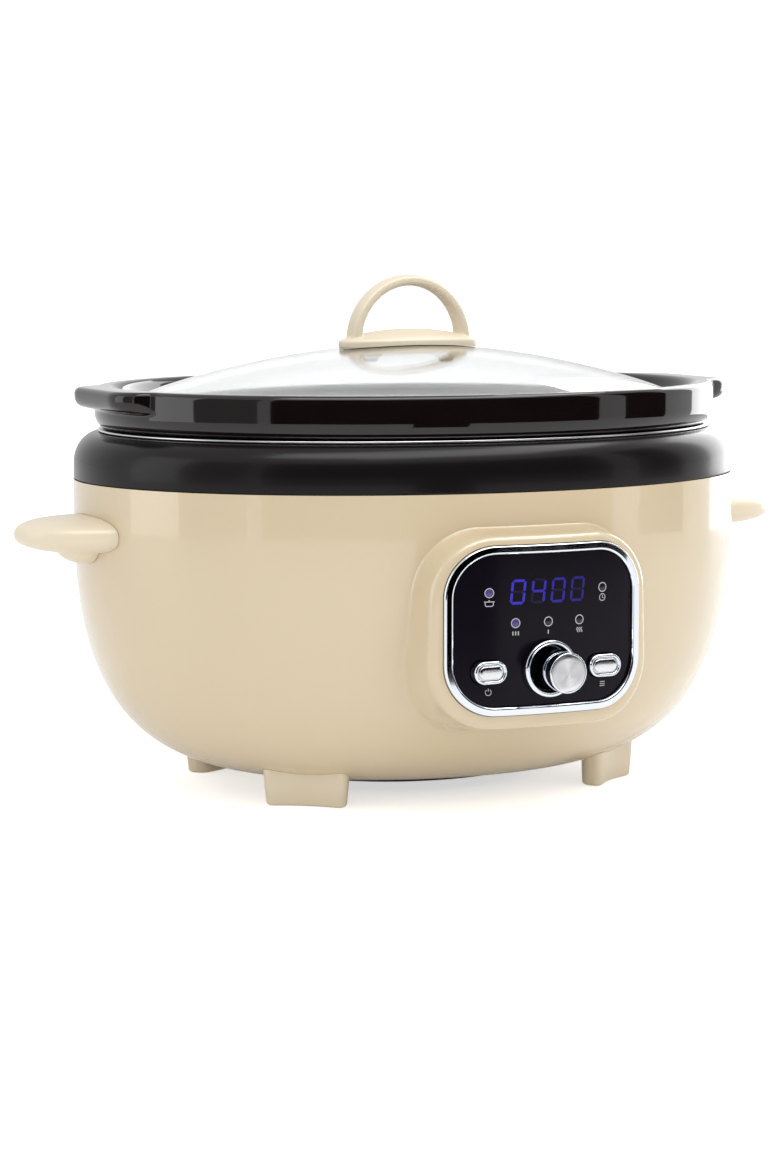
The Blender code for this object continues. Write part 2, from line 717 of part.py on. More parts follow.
def well_half_at(z):
    """Inside half length of the well's tapered wall."""
    corner_z = WELL_FLOOR_Z + WELL_CORNER
    share = (z - corner_z) / (lip_top() - corner_z)
    return WELL_FLOOR_HALF + share * (WELL_HALF - WELL_FLOOR_HALF)


def make_heating_well():
    inside = well_corner(WELL_FLOOR_HALF, WELL_FLOOR_Z, WELL_CORNER)
    outside = well_corner(
        WELL_FLOOR_HALF + WELL_WALL, WELL_FLOOR_Z - WELL_WALL, WELL_CORNER + WELL_WALL
    )
    lip_half = WELL_HALF + WELL_LIP_WIDTH
    outline = [(0.0, WELL_FLOOR_Z)] + inside[::-1]
    outline += [(WELL_HALF, lip_top()), (lip_half, lip_top()), (lip_half, COLLAR_TOP_Z + GAP)]
    outline += [(WELL_HALF + WELL_WALL, COLLAR_TOP_Z + GAP)]
    outline += outside + [(0.0, WELL_FLOOR_Z - WELL_WALL)]
    return oval_piece("heating_well", outline, "sheet_metal")


def wrap_ring(name, inner_offset, thick, finish):
    """A band round the well, following its taper."""
    outline = []
    for offset, heights in (
        (inner_offset + thick, (HEATER_HIGH_Z, HEATER_LOW_Z)),
        (inner_offset, (HEATER_LOW_Z, HEATER_HIGH_Z)),
    ):
        outline += [(well_half_at(z) + offset, z) for z in heights]
    return oval_piece(name, outline, finish, ring=True)


def make_heater():
    wrap_ring("band_heater", WELL_WALL + GAP, HEATER_THICK, "mica")
    wrap_ring("insulation_wrap", WELL_WALL + HEATER_THICK + 2 * GAP, WRAP_THICK, "glass_wool")


def make_underside_parts():
    under_well = WELL_FLOOR_Z - WELL_WALL - GAP
    puck = cylinder_outline(SENSOR_RADIUS, under_well, under_well - SENSOR_HEIGHT)
    round_piece("temperature_sensor", puck, "sheet_metal", Matrix.Identity(4), 20)
    fuse = cylinder_outline(FUSE_RADIUS, FUSE_LENGTH / 2, -FUSE_LENGTH / 2)
    at_fuse = Matrix.Translation((FUSE_X, 0, under_well - FUSE_RADIUS)) @ FACING_REAR
    round_piece("thermal_fuse", fuse, "steel", at_fuse, 12)
    board = box_mesh("power_board", (BOARD_LENGTH, BOARD_DEPTH, PCB_THICK))
    make_piece("power_board", board, "board_green", Matrix.Translation((0, 0, BOARD_Z)))
    relay_z = BOARD_Z + PCB_THICK / 2 + GAP + RELAY_SIZE[2] / 2
    relay = box_mesh("relay", RELAY_SIZE)
    make_piece("relay", relay, "black_plastic", Matrix.Translation((RELAY_X, 0, relay_z)))


def make_cord_gland(shell):
    """The grommet in the rear wall that the supply lead goes through."""
    wall_y = shell_half_at(0.0, GLAND_Z) * OVAL
    at_wall = Matrix.Translation((0, wall_y + GLAND_SEAT, GLAND_Z)) @ FACING_REAR
    back = -GLAND_SEAT - SHELL_WALL - GLAND_INSIDE
    front = GLAND_FLANGE_THICK
    outline = [
        (GLAND_RADIUS, front), (GLAND_FLANGE, front - GLAND_FLANGE_THICK / 3), (GLAND_FLANGE, 0.0),
        (GLAND_RADIUS, 0.0), (GLAND_RADIUS, back), (GLAND_BORE, back), (GLAND_BORE, front),
    ]
    round_piece("cord_gland", outline, "black_plastic", at_wall, 20, ring=True)
    hole = round_cutter(
        "gland_hole", GLAND_RADIUS + HOLE_CLEARANCE, 2 * GLAND_FLANGE, back - GLAND_FLANGE, at_wall, 20
    )
    combine(shell, hole)
    seat = round_cutter(
        "gland_seat", GLAND_FLANGE + HOLE_CLEARANCE, 2 * GLAND_FLANGE, -GAP, at_wall, 20
    )
    combine(shell, seat)


# Crock

def crock_outside():
    """From the rim's top edge, down the outside, to the foot."""
    under_z = lip_top() + GAP
    points = []
    for row in range(4):
        angle = math.radians(90) * (1 - row / 3)
        across = RIM_HALF - RIM_ROUND + RIM_ROUND * math.cos(angle)
        points.append((across, CROCK_TOP_Z - RIM_ROUND + RIM_ROUND * math.sin(angle)))
    turn_z = CROCK_TOP_Z - RIM_STRAIGHT
    for row in range(4):
        angle = math.radians(90) * row / 3
        across = RIM_HALF - RIM_UNDERCUT + RIM_UNDERCUT * math.cos(angle)
        points.append((across, turn_z - (turn_z - under_z) * math.sin(angle)))
    points.append((WELL_HALF - CROCK_PLAY, under_z))
    half = WELL_FLOOR_HALF - CROCK_PLAY
    points += well_corner(half, WELL_FLOOR_Z + CROCK_PLAY, WELL_CORNER)
    return points


def crock_inside():
    """From the middle of the floor, up the inside wall and over the ledge to the rim's land."""
    ledge_half = RIM_HALF - RIM_ROUND - RIM_LAND - LID_PLAY
    wall_half = ledge_half - LEDGE_WIDTH
    floor_half = WELL_FLOOR_HALF - CROCK_PLAY - CROCK_WALL
    floor_z = WELL_FLOOR_Z + CROCK_PLAY + CROCK_FLOOR
    ledge_z = CROCK_TOP_Z - LEDGE_DROP
    points = [(0.0, floor_z)] + well_corner(floor_half, floor_z, WELL_CORNER)[::-1]
    points.append((wall_half, ledge_z - LEDGE_WIDTH / 2))
    points.append((wall_half + LEDGE_WIDTH / 4, ledge_z))
    points.append((ledge_half, ledge_z))
    points.append((ledge_half + LID_PLAY, CROCK_TOP_Z - RIM_ROUND / 2))
    points.append((ledge_half + 2 * LID_PLAY, CROCK_TOP_Z))
    return points


def lug_mesh():
    """A flat tab with rounded outer corners, sunk into the rim."""
    inner_x = RIM_HALF - RIM_LAND
    length = LUG_REACH - inner_x
    outline = [
        (x + LUG_REACH - length, y)
        for x, y in rounded_rectangle(2 * length, 2 * LUG_HALF_WIDTH, min(LUG_CORNER, 0.9 * length), 5)
        if x > -0.001
    ]
    outline = [(inner_x, LUG_HALF_WIDTH)] + outline + [(inner_x, -LUG_HALF_WIDTH)]
    ordered = sorted(outline, key=lambda point: math.atan2(point[1], point[0] - inner_x + 0.001))
    return plate_mesh("lug", [ordered], CROCK_TOP_Z - 2 * GAP, CROCK_TOP_Z - LUG_THICK)


def make_crock():
    axis = axis_empty("crock_axis", 0, 0, 0)
    outline = crock_inside() + crock_outside() + [(0.0, WELL_FLOOR_Z + CROCK_PLAY)]
    crock = oval_piece("crock", outline, "glaze", parent=axis)
    for hand, side in (("left", -1), ("right", 1)):
        facing = Matrix.Rotation(math.radians(180 if side < 0 else 0), 4, "Z")
        combine(crock, make_cutter(f"{hand}_lug", lug_mesh(), facing, axis), "UNION")
    return axis


# Lid

def lid_half():
    """Half length of the glass, which drops into the crock's rim."""
    return RIM_HALF - RIM_ROUND - RIM_LAND - 2 * LID_PLAY


def lid_edge_z():
    return CROCK_TOP_Z - LEDGE_DROP + GAP + LID_GLASS


def dome_height(reach):
    """Top of the glass at an oval of this half length."""
    share = min(reach / (lid_half() - LID_RIM_FLAT), 1.0)
    return lid_edge_z() + LID_RISE * (1 - share ** LID_POWER)


def make_lid_glass(axis):
    reaches = [(lid_half() - LID_RIM_FLAT) * row / LID_ROWS for row in range(LID_ROWS + 1)]
    above = [(reach, dome_height(reach)) for reach in reaches]
    below = [(reach, dome_height(reach) - LID_GLASS) for reach in reaches]
    edge = [(lid_half(), lid_edge_z() - LID_GLASS / 4), (lid_half(), lid_edge_z() - LID_GLASS)]
    return oval_piece("lid_glass", above + edge + below[::-1], "glass", parent=axis)


def grip_low_z():
    return dome_height(GRIP_HALF_LENGTH) + GAP


def make_lid_handle(axis):
    """One moulding: an oval foot on the glass and an arch over it."""
    low = grip_low_z()
    outline = [(0.0, low + GRIP_EDGE + GRIP_CROWN)]
    for row in range(1, 6):
        angle = math.radians(90) * row / 5
        outline.append((
            GRIP_HALF_LENGTH * math.sin(angle), low + GRIP_EDGE + GRIP_CROWN * math.cos(angle) ** 1.2
        ))
    outline += [(GRIP_HALF_LENGTH, low), (0.0, low)]
    name = "lid_handle"
    squeeze = Matrix.Diagonal((1, GRIP_HALF_DEPTH / GRIP_HALF_LENGTH, 1, 1))
    handle = round_piece(name, outline, "cream_satin", squeeze, 32, parent=axis)
    combine(handle, arch_cutter(low, axis), "UNION")
    reaches = [lid_half() / 2 * row / 4 for row in range(5)]
    dome = [(reach, dome_height(reach) + GAP) for reach in reaches]
    dome.append((lid_half() / 2, low - 2 * GRIP_EDGE))
    dome.append((0.0, low - 2 * GRIP_EDGE))
    combine(handle, oval_cutter("glass_under_handle", dome, parent=axis))
    return handle


def arch_cutter(low, axis):
    """A half ring standing in the XZ plane, its legs sunk into the foot."""
    outer, inner = [], []
    bore = ARCH_RADIUS - ARCH_THICK
    for step in range(17):
        angle = math.radians(180) * step / 16
        outer.append((ARCH_RADIUS * math.cos(angle), ARCH_RADIUS * math.sin(angle)))
        inner.append((bore * math.cos(angle), bore * math.sin(angle)))
    leg = ARCH_CENTRE_UP - 3 * GAP
    outer = [(ARCH_RADIUS, -leg)] + outer + [(-ARCH_RADIUS, -leg)]
    inner = [(bore, -leg)] + inner + [(-bore, -leg)]
    mesh = plate_mesh("arch", [outer + inner[::-1]], ARCH_WIDTH / 2, -ARCH_WIDTH / 2)
    matrix = Matrix.Translation((0, 0, low + ARCH_CENTRE_UP)) @ FACING_FRONT
    arch = make_cutter("arch", mesh, matrix, axis)
    rounding = arch.modifiers.new("round edges", "BEVEL")
    rounding.width = ARCH_THICK / 4
    rounding.segments = 2
    rounding.limit_method = "ANGLE"
    rounding.angle_limit = math.radians(50)
    return arch


def make_lid_screws(glass, handle, axis):
    """Two screws from under the glass, each with a sealing washer."""
    under_glass = dome_height(LID_SCREW_X + WASHER_RADIUS) - LID_GLASS
    head_z = under_glass - 2 * GAP - WASHER_THICK
    length = dome_height(LID_SCREW_X) + LID_SCREW_GRIP - head_z
    outline = screw_outline(LID_SCREW_HEAD, LID_SCREW_HEAD_THICK, LID_SCREW_RADIUS, length)
    hole_radius = LID_SCREW_RADIUS + HOLE_CLEARANCE
    washer = [
        (WASHER_RADIUS, WASHER_THICK), (WASHER_RADIUS, 0.0), (hole_radius, 0.0), (hole_radius, WASHER_THICK),
    ]
    for hand, side in (("left", -1), ("right", 1)):
        x = side * LID_SCREW_X
        at_head = Matrix.Translation((x, 0, head_z)) @ FACING_DOWN
        round_piece(f"{hand}_lid_screw", outline, "steel", at_head, 12, parent=axis)
        at_washer = Matrix.Translation((x, 0, head_z + GAP))
        round_piece(f"{hand}_lid_washer", washer, "silicone", at_washer, 16, ring=True, parent=axis)
        hole = round_cutter(f"{hand}_lid_screw_hole", hole_radius, GAP, -length - GAP, at_head, 12, axis)
        combine(glass, hole)
        combine(handle, hole)


def make_lid():
    axis = axis_empty("lid_axis", 0, 0, 0)
    glass = make_lid_glass(axis)
    handle = make_lid_handle(axis)
    make_lid_screws(glass, handle, axis)


# Control panel

def bow_sag(x):
    """How far the bowed panel falls back at x from its centre line."""
    return PANEL_BOW - math.sqrt(PANEL_BOW ** 2 - x ** 2)


def fascia_front(x):
    return PANEL_FRONT - FASCIA_RECESS - bow_sag(x)


def shifted(outline, x, y):
    return [(px + x, py + y) for px, py in outline]


def circle(radius, points=16):
    return [
        (radius * math.cos(math.tau * step / points), radius * math.sin(math.tau * step / points))
        for step in range(points)
    ]


def stadium(length, height, corner_points=5):
    return rounded_rectangle(length, height, height / 2 - 0.00001, corner_points)


def make_bezel():
    outer = rounded_rectangle(BEZEL_WIDTH, BEZEL_HEIGHT, BEZEL_CORNER, 6)
    inner = rounded_rectangle(
        BEZEL_WIDTH - 2 * BEZEL_FACE, BEZEL_HEIGHT - 2 * BEZEL_FACE, BEZEL_CORNER - BEZEL_FACE, 6
    )
    mesh = plate_mesh("panel_bezel", [outer, inner], PANEL_FRONT, PANEL_FRONT - 3 * BEZEL_DEPTH)
    bezel = make_piece("panel_bezel", mesh, "chrome", panel_matrix())
    combine(bezel, bow_cutter("bezel_bow", 0.0, BEZEL_DEPTH), "INTERSECT")


def make_fascia():
    """The dark front, bowed like the bezel, with holes for the shaft, the buttons and the lamps."""
    margin = BEZEL_FACE + GAP
    outlines = [rounded_rectangle(
        BEZEL_WIDTH - 2 * margin, BEZEL_HEIGHT - 2 * margin, BEZEL_CORNER - margin, 6
    )]
    outlines.append(shifted(circle(SHAFT_RADIUS + 2 * HOLE_CLEARANCE), 0, KNOB_Z - PANEL_Z))
    for side in (-1, 1):
        button = stadium(BUTTON_LENGTH + 2 * HOLE_CLEARANCE, BUTTON_HEIGHT + 2 * HOLE_CLEARANCE)
        outlines.append(shifted(button, side * BUTTON_X, BUTTON_Z - PANEL_Z))
    for lamp_z, lamp_places in LAMP_ROWS:
        for lamp_x in lamp_places:
            outlines.append(shifted(circle(LAMP_RADIUS + HOLE_CLEARANCE, 10), lamp_x, lamp_z - PANEL_Z))
    mesh = plate_mesh("panel_fascia", outlines, PANEL_FRONT, PANEL_FRONT - 3 * BEZEL_DEPTH)
    fascia = make_piece("panel_fascia", mesh, "black_gloss", panel_matrix())
    combine(fascia, bow_cutter("fascia_bow", FASCIA_RECESS, FASCIA_THICK), "INTERSECT")


def make_lamps():
    """Light pipes that stand a hair proud of the fascia."""
    for names, (lamp_z, lamp_places) in zip(LAMP_NAMES, LAMP_ROWS):
        for name, lamp_x in zip(names, lamp_places):
            front = fascia_front(lamp_x) + GAP
            outline = cylinder_outline(LAMP_RADIUS, front, front - FASCIA_THICK - 2 * GAP)
            round_piece(name, outline, "lamp", panel_matrix(lamp_x, lamp_z), 10)


def board_front():
    return PANEL_FRONT - PCB_BACK


def make_boards():
    width = BEZEL_WIDTH - 2 * PCB_MARGIN
    height = BEZEL_HEIGHT - 2 * PCB_MARGIN
    outline = rounded_rectangle(width, height, BEZEL_CORNER - PCB_MARGIN, 4)
    mesh = plate_mesh("control_board", [outline], board_front(), board_front() - PCB_THICK)
    make_piece("control_board", mesh, "board_green", panel_matrix())
    cover = rounded_rectangle(BEZEL_WIDTH - 2 * GAP, BEZEL_HEIGHT - 2 * GAP, BEZEL_CORNER - GAP, 5)
    cover_front = PANEL_FRONT - COVER_BACK
    mesh = plate_mesh("panel_rear_cover", [cover], cover_front, cover_front - COVER_THICK)
    make_piece("panel_rear_cover", mesh, "black_plastic", panel_matrix())
    front = fascia_front(DISPLAY_WIDTH / 2) - FASCIA_THICK - GAP
    depth = front - board_front() - GAP
    module = box_mesh("display_module", (DISPLAY_WIDTH, DISPLAY_HEIGHT, depth))
    at_module = panel_matrix(0, DISPLAY_Z) @ Matrix.Translation((0, 0, front - depth / 2))
    make_piece("display_module", module, "black_plastic", at_module)


def make_knob():
    axis = axis_empty("knob_axis", 0, 0, KNOB_Z)
    seat = fascia_front(0.0)
    rise = KNOB_RING_RADIUS - KNOB_RING_HOLE
    ring = [
        (KNOB_RING_RADIUS - rise / 4, seat + KNOB_RING_DEPTH),
        (KNOB_RING_RADIUS, seat + KNOB_RING_DEPTH * 0.8),
        (KNOB_RING_RADIUS, seat + GAP), (KNOB_RING_HOLE, seat + GAP),
        (KNOB_RING_HOLE, seat + KNOB_RING_DEPTH / 4),
    ]
    round_piece("knob_ring", ring, "chrome", panel_matrix(0, KNOB_Z), 32, ring=True)
    face = seat + KNOB_PROUD
    cap_seat = face - KNOB_CAP_THICK
    back = seat + KNOB_RING_DEPTH / 4
    encoder_front = seat - FASCIA_THICK - GAP
    knob = [
        (0.0, cap_seat), (KNOB_CAP_RADIUS + GAP, cap_seat), (KNOB_CAP_RADIUS + GAP, face - GAP),
        (KNOB_RADIUS - GAP, face - 2 * GAP), (KNOB_RADIUS, face - KNOB_CAP_THICK - GAP),
        (KNOB_RADIUS, back), (SHAFT_RADIUS, back),
        (SHAFT_RADIUS, encoder_front - SHAFT_DEPTH), (0.0, encoder_front - SHAFT_DEPTH),
    ]
    facing = Matrix.Rotation(math.radians(90), 4, "X")
    round_piece("knob", knob, "chrome", facing, 32, parent=axis)
    cap = cylinder_outline(KNOB_CAP_RADIUS, face, cap_seat + GAP)
    round_piece("knob_cap", cap, "spun_aluminium", facing, 32, parent=axis)
    depth = encoder_front - board_front() - GAP
    body = box_mesh("encoder_body", (ENCODER_SIDE, ENCODER_SIDE, depth))
    at_body = panel_matrix(0, KNOB_Z) @ Matrix.Translation((0, 0, encoder_front - depth / 2))
    encoder = make_piece("encoder_body", body, "sheet_metal", at_body)
    bore = round_cutter(
        "encoder_bore", SHAFT_RADIUS + HOLE_CLEARANCE, PANEL_FRONT,
        encoder_front - SHAFT_DEPTH - 2 * GAP, panel_matrix(0, KNOB_Z), 16
    )
    combine(encoder, bore)


def make_buttons():
    """Two caps that slide in their holes onto the switches behind them."""
    front = fascia_front(BUTTON_X) + BUTTON_PROUD
    back = fascia_front(BUTTON_X + BUTTON_LENGTH / 2) - FASCIA_THICK - 3 * GAP
    for name, side in (("power", -1), ("menu", 1)):
        axis = axis_empty(f"{name}_axis", side * BUTTON_X, 0, BUTTON_Z)
        mesh = plate_mesh(f"{name}_button", [stadium(BUTTON_LENGTH, BUTTON_HEIGHT)], front, back)
        button = make_piece(f"{name}_button", mesh, "chrome", FACING_FRONT, axis)
        rounding = button.modifiers.new("round edges", "BEVEL")
        rounding.width = BUTTON_PROUD / 4
        rounding.segments = 1
        rounding.limit_method = "ANGLE"
        rounding.angle_limit = math.radians(60)
        depth = back - BUTTON_TRAVEL - GAP - board_front() - GAP
        switch = box_mesh(f"{name}_switch", (SWITCH_SIDE, SWITCH_SIDE, depth))
        middle = board_front() + GAP + depth / 2
        at_switch = panel_matrix(side * BUTTON_X, BUTTON_Z) @ Matrix.Translation((0, 0, middle))
        make_piece(f"{name}_switch", switch, "black_plastic", at_switch)


def loom_route(start_y, start_z):
    """Forward along the floor, up between well and shell, and in to the panel's rear cover."""
    corner_z = WELL_FLOOR_Z + WELL_CORNER
    route = [(start_y, start_z)]
    under_well = WELL_FLOOR_Z - 4 * LOOM_RADIUS
    route.append((-(shell_half_at(SHELL_WALL, start_z) * OVAL - LOOM_RUN), start_z))
    route.append((-(shell_half_at(SHELL_WALL, under_well) * OVAL - LOOM_RUN / 2), under_well))
    for share in (0.4, 0.8):
        z = WELL_FLOOR_Z + share * WELL_CORNER
        drop = corner_z - z
        well = WELL_FLOOR_HALF - WELL_CORNER + math.sqrt(WELL_CORNER ** 2 - drop ** 2) + WELL_WALL
        space = shell_half_at(SHELL_WALL, z) - well
        route.append((-(well + LOOM_SHARE * space) * OVAL, z))
    end_y = COVER_BACK + COVER_THICK + 2 * GAP - PANEL_FRONT
    route.append((end_y + 2 * LOOM_RADIUS, corner_z + LOOM_RADIUS))
    route.append((end_y, corner_z + LOOM_RADIUS))
    return route


def make_loom():
    """The lead from the power board to the control panel."""
    route = loom_route(-BOARD_DEPTH / 2 + 2 * LOOM_RADIUS, BOARD_Z + PCB_THICK + 2 * LOOM_RADIUS)
    curve = bpy.data.curves.new("panel_lead", "CURVE")
    curve.dimensions = "3D"
    curve.bevel_depth = LOOM_RADIUS
    curve.bevel_resolution = 2
    curve.use_fill_caps = True
    curve.resolution_u = 4
    spline = curve.splines.new("BEZIER")
    spline.bezier_points.add(len(route) - 1)
    for point, (y, z) in zip(spline.bezier_points, route):
        point.co = (LOOM_X, y, z)
        point.handle_left_type = "AUTO"
        point.handle_right_type = "AUTO"
    for point in spline.bezier_points[-2:]:
        point.handle_left_type = "VECTOR"
        point.handle_right_type = "VECTOR"
    make_piece("panel_lead", mesh_from_curve("panel_lead", curve, Matrix.Identity(4)), "silicone")


def build():
    shell = make_outer_shell()
    make_collar_ring()
    plate = make_base_plate()
    make_base_screws(shell, plate)
    make_feet(shell)
    make_side_handles(shell)
    make_heating_well()
    make_heater()
    make_underside_parts()
    make_cord_gland(shell)
    make_crock()
    make_lid()
    make_bezel()
    make_fascia()
    make_lamps()
    make_boards()
    make_knob()
    make_buttons()
    make_loom()


build()
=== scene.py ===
import math

import bmesh
import bpy
import numpy as np
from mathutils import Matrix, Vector


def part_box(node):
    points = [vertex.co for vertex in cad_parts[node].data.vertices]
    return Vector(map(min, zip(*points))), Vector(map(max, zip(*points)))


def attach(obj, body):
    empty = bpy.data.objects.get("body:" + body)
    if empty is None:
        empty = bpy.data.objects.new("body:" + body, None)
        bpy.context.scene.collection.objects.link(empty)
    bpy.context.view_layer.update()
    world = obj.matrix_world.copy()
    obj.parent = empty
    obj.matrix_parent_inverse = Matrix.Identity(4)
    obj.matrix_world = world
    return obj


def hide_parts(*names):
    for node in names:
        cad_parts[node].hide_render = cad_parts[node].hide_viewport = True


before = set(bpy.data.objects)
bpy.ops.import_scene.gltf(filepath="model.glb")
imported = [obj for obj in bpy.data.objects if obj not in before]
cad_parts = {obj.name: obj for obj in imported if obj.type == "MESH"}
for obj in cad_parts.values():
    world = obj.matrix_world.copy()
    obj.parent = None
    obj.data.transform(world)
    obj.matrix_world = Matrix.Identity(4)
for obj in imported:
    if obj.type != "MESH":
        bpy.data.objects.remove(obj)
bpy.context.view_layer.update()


# The stage: a pale floor in a white room, a soft light over the cooker, bright cards at each side
# and overhead and dark cards in front, so that the gloss has something to show. The camera stands
# low and to the left, 1.6 metres off. The cooker's oval is centred on the collar ring.

collar_low, collar_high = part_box("collar_ring")
MIDDLE_Y = (collar_low.y + collar_high.y) / 2
CAMERA_DISTANCE = 1.600
CAMERA_HEIGHT = 0.2812
CAMERA_SIDE = math.radians(-25.505)
CAMERA_AIM = math.radians(-25.173)
CAMERA_DIP = math.radians(6.561)
CAMERA_LENS = 97.29
FLOOR_SIZE = 14.0
FLOOR_LIFT = 0.60
FLOOR_BOUNCE = 0.10
ROOM_LIGHT = 0.88
ROOM_WHITE = 1.05
ROOM_THROUGH_GLASS = 1.55


def studio_camera():
    data = bpy.data.cameras.new("camera")
    data.lens = CAMERA_LENS
    data.sensor_width = 36.0
    camera = bpy.data.objects.new("camera", data)
    camera.location = (
        CAMERA_DISTANCE * math.sin(CAMERA_SIDE),
        MIDDLE_Y - CAMERA_DISTANCE * math.cos(CAMERA_SIDE),
        CAMERA_HEIGHT,
    )
    camera.rotation_euler = (math.radians(90) - CAMERA_DIP, 0.0, CAMERA_AIM)
    bpy.context.scene.collection.objects.link(camera)
    bpy.context.scene.camera = camera


def new_material(name):
    """A node material, its tree and its shader."""
    material = bpy.data.materials.new(name)
    material.use_nodes = True
    return material, material.node_tree, material.node_tree.nodes["Principled BSDF"]


def glow(tree, brightness):
    """An emission shader of a given brightness."""
    node = tree.nodes.new("ShaderNodeEmission")
    node.inputs["Strength"].default_value = brightness
    return node.outputs["Emission"]


def stage_sheet(name, points, faces, material):
    """A surface that belongs to the studio and not to the cooker."""
    mesh = bpy.data.meshes.new(name)
    mesh.from_pydata(points, [], faces)
    mesh.materials.append(material)
    sheet = bpy.data.objects.new(name, mesh)
    bpy.context.scene.collection.objects.link(sheet)
    return sheet


def studio_floor():
    """White, and lifted towards the room's white where the camera sees it, so no horizon shows."""
    material, tree, shader = new_material("studio floor")
    shader.inputs["Base Color"].default_value = (0.90, 0.90, 0.90, 1.0)
    shader.inputs["Roughness"].default_value = 0.7
    seen = tree.nodes.new("ShaderNodeLightPath")
    lift = tree.nodes.new("ShaderNodeAddShader")
    tree.links.new(shader.outputs["BSDF"], lift.inputs[0])
    tree.links.new(glow(tree, FLOOR_LIFT), lift.inputs[1])
    mix = tree.nodes.new("ShaderNodeMixShader")
    tree.links.new(seen.outputs["Is Camera Ray"], mix.inputs["Fac"])
    bounce = tree.nodes.new("ShaderNodeAddShader")
    tree.links.new(shader.outputs["BSDF"], bounce.inputs[0])
    tree.links.new(glow(tree, FLOOR_BOUNCE), bounce.inputs[1])
    tree.links.new(bounce.outputs["Shader"], mix.inputs[1])
    tree.links.new(lift.outputs["Shader"], mix.inputs[2])
    tree.links.new(mix.outputs["Shader"], tree.nodes["Material Output"].inputs["Surface"])
    half = FLOOR_SIZE / 2
    corners = [(-half, -half, -0.0002), (half, -half, -0.0002), (half, half, -0.0002), (-half, half, -0.0002)]
    stage_sheet("floor", corners, [(0, 1, 2, 3)], material)


def card(name, azimuths, near_edge, far_edge, brightness):
    """A card bent round the cooker that only shows in its gloss. An edge is a distance and a height."""
    material, tree, _ = new_material(name)
    tree.links.new(glow(tree, brightness), tree.nodes["Material Output"].inputs["Surface"])
    points, faces = [], []
    for step in range(25):
        turn = math.radians(azimuths[0] + (azimuths[1] - azimuths[0]) * step / 24)
        for distance, height in (near_edge, far_edge):
            points.append((distance * math.sin(turn), MIDDLE_Y - distance * math.cos(turn), height))
        if step:
            faces.append((2 * step - 2, 2 * step - 1, 2 * step + 1, 2 * step))
    sheet = stage_sheet(name, points, faces, material)
    sheet.visible_camera = False
    sheet.visible_diffuse = False
    sheet.visible_shadow = False
    sheet.visible_transmission = False


def soft_light(name, azimuth, elevation, distance, width, height, power):
    """A square lamp aimed at the cooker. Azimuth is counted from the front towards +X."""
    turn, lift = math.radians(azimuth), math.radians(elevation)
    way = Vector((math.sin(turn) * math.cos(lift), -math.cos(turn) * math.cos(lift), math.sin(lift)))
    data = bpy.data.lights.new(name, "AREA")
    data.shape = "RECTANGLE"
    data.size = width
    data.size_y = height
    data.energy = power
    light = bpy.data.objects.new(name, data)
    light.location = Vector((0, MIDDLE_Y, 0.12)) + distance * way
    light.rotation_euler = way.to_track_quat("Z", "Y").to_euler()
    bpy.context.scene.collection.objects.link(light)


def white_room():
    """Even white light from all round, whiter still behind the cooker, where it is looked at."""
    world = bpy.data.worlds.new("white room")
    world.use_nodes = True
    tree = world.node_tree
    back = tree.nodes["Background"]
    seen = tree.nodes.new("ShaderNodeLightPath")
    level = tree.nodes.new("ShaderNodeMix")
    level.inputs["A"].default_value = ROOM_LIGHT
    level.inputs["B"].default_value = ROOM_WHITE
    tree.links.new(seen.outputs["Is Camera Ray"], level.inputs["Factor"])
    through = tree.nodes.new("ShaderNodeMix")
    through.inputs["B"].default_value = ROOM_THROUGH_GLASS
    tree.links.new(seen.outputs["Is Transmission Ray"], through.inputs["Factor"])
    tree.links.new(level.outputs["Result"], through.inputs["A"])
    tree.links.new(through.outputs["Result"], back.inputs["Strength"])
    back.inputs["Color"].default_value = (1.0, 1.0, 1.0, 1.0)
    bpy.context.scene.world = world


studio_camera()
bpy.context.scene.view_settings.view_transform = "Standard"
white_room()
studio_floor()
card("front card", (-52, 50), (1.25, -0.0001), (1.25, 0.95), 0.0)
card("right front card", (60, 80), (1.25, -0.0001), (1.25, 0.95), 0.0)
card("near card", (-9, 7), (0.62, -0.0001), (0.62, 0.42), 0.0)
card("left front card", (-84, -57), (1.25, -0.0001), (1.25, 0.95), 0.30)
card("left card", (-110, -84), (1.10, 0.02), (1.10, 0.90), 2.0)
card("right card", (98, 140), (1.10, 0.02), (1.10, 0.90), 4.5)
card("top card", (-60, 105), (0.80, 1.05), (0.45, 1.25), 5.0)
soft_light("top light", 12, 64, 1.5, 1.2, 0.8, 8)


# The outer shell: one deep moulding in cream gloss lacquer, 2.6 mm thick. Its sides are nearly
# upright at the seam and roll under to a flat floor, and at the front it swells into a softly
# rounded boss with an opening for the control panel. It is open at the top and under the middle.

shell_low, shell_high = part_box("outer_shell")
plate_low, plate_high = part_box("base_plate")
bezel_low, bezel_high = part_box("panel_bezel")
HALF_LENGTH = collar_high.x + 0.0003
HALF_DEPTH = (collar_high.y - collar_low.y) / 2 + 0.0003
OVAL = HALF_DEPTH / HALF_LENGTH
SEAM_Z = shell_high.z
FLOOR_Z = shell_low.z
WALL = 0.0026
CURVE_LOW_Z = 0.008
CURVE_INNER = 0.0608
POWER_OUT = 2.67
POWER_DOWN = 3.18
PLATE_HALF = plate_high.x
PANEL_Z = (bezel_low.z + bezel_high.z) / 2
PANEL_HALF_WIDTH = bezel_high.x
PANEL_HALF_HEIGHT = (bezel_high.z - bezel_low.z) / 2
PANEL_CORNER = 0.0245
PANEL_FRONT = MIDDLE_Y - bezel_low.y
PANEL_BOW = 0.200
BOSS_SETBACK = 0.0016
BOSS_FLAT_TOP = 0.0006
BOSS_FLAT_BOTTOM = 0.0032
BOSS_ROUND = 0.0034
BOSS_FILLET = 0.0100
BOSS_DRAFT = math.radians(83)
BOSS_LIP = 0.006


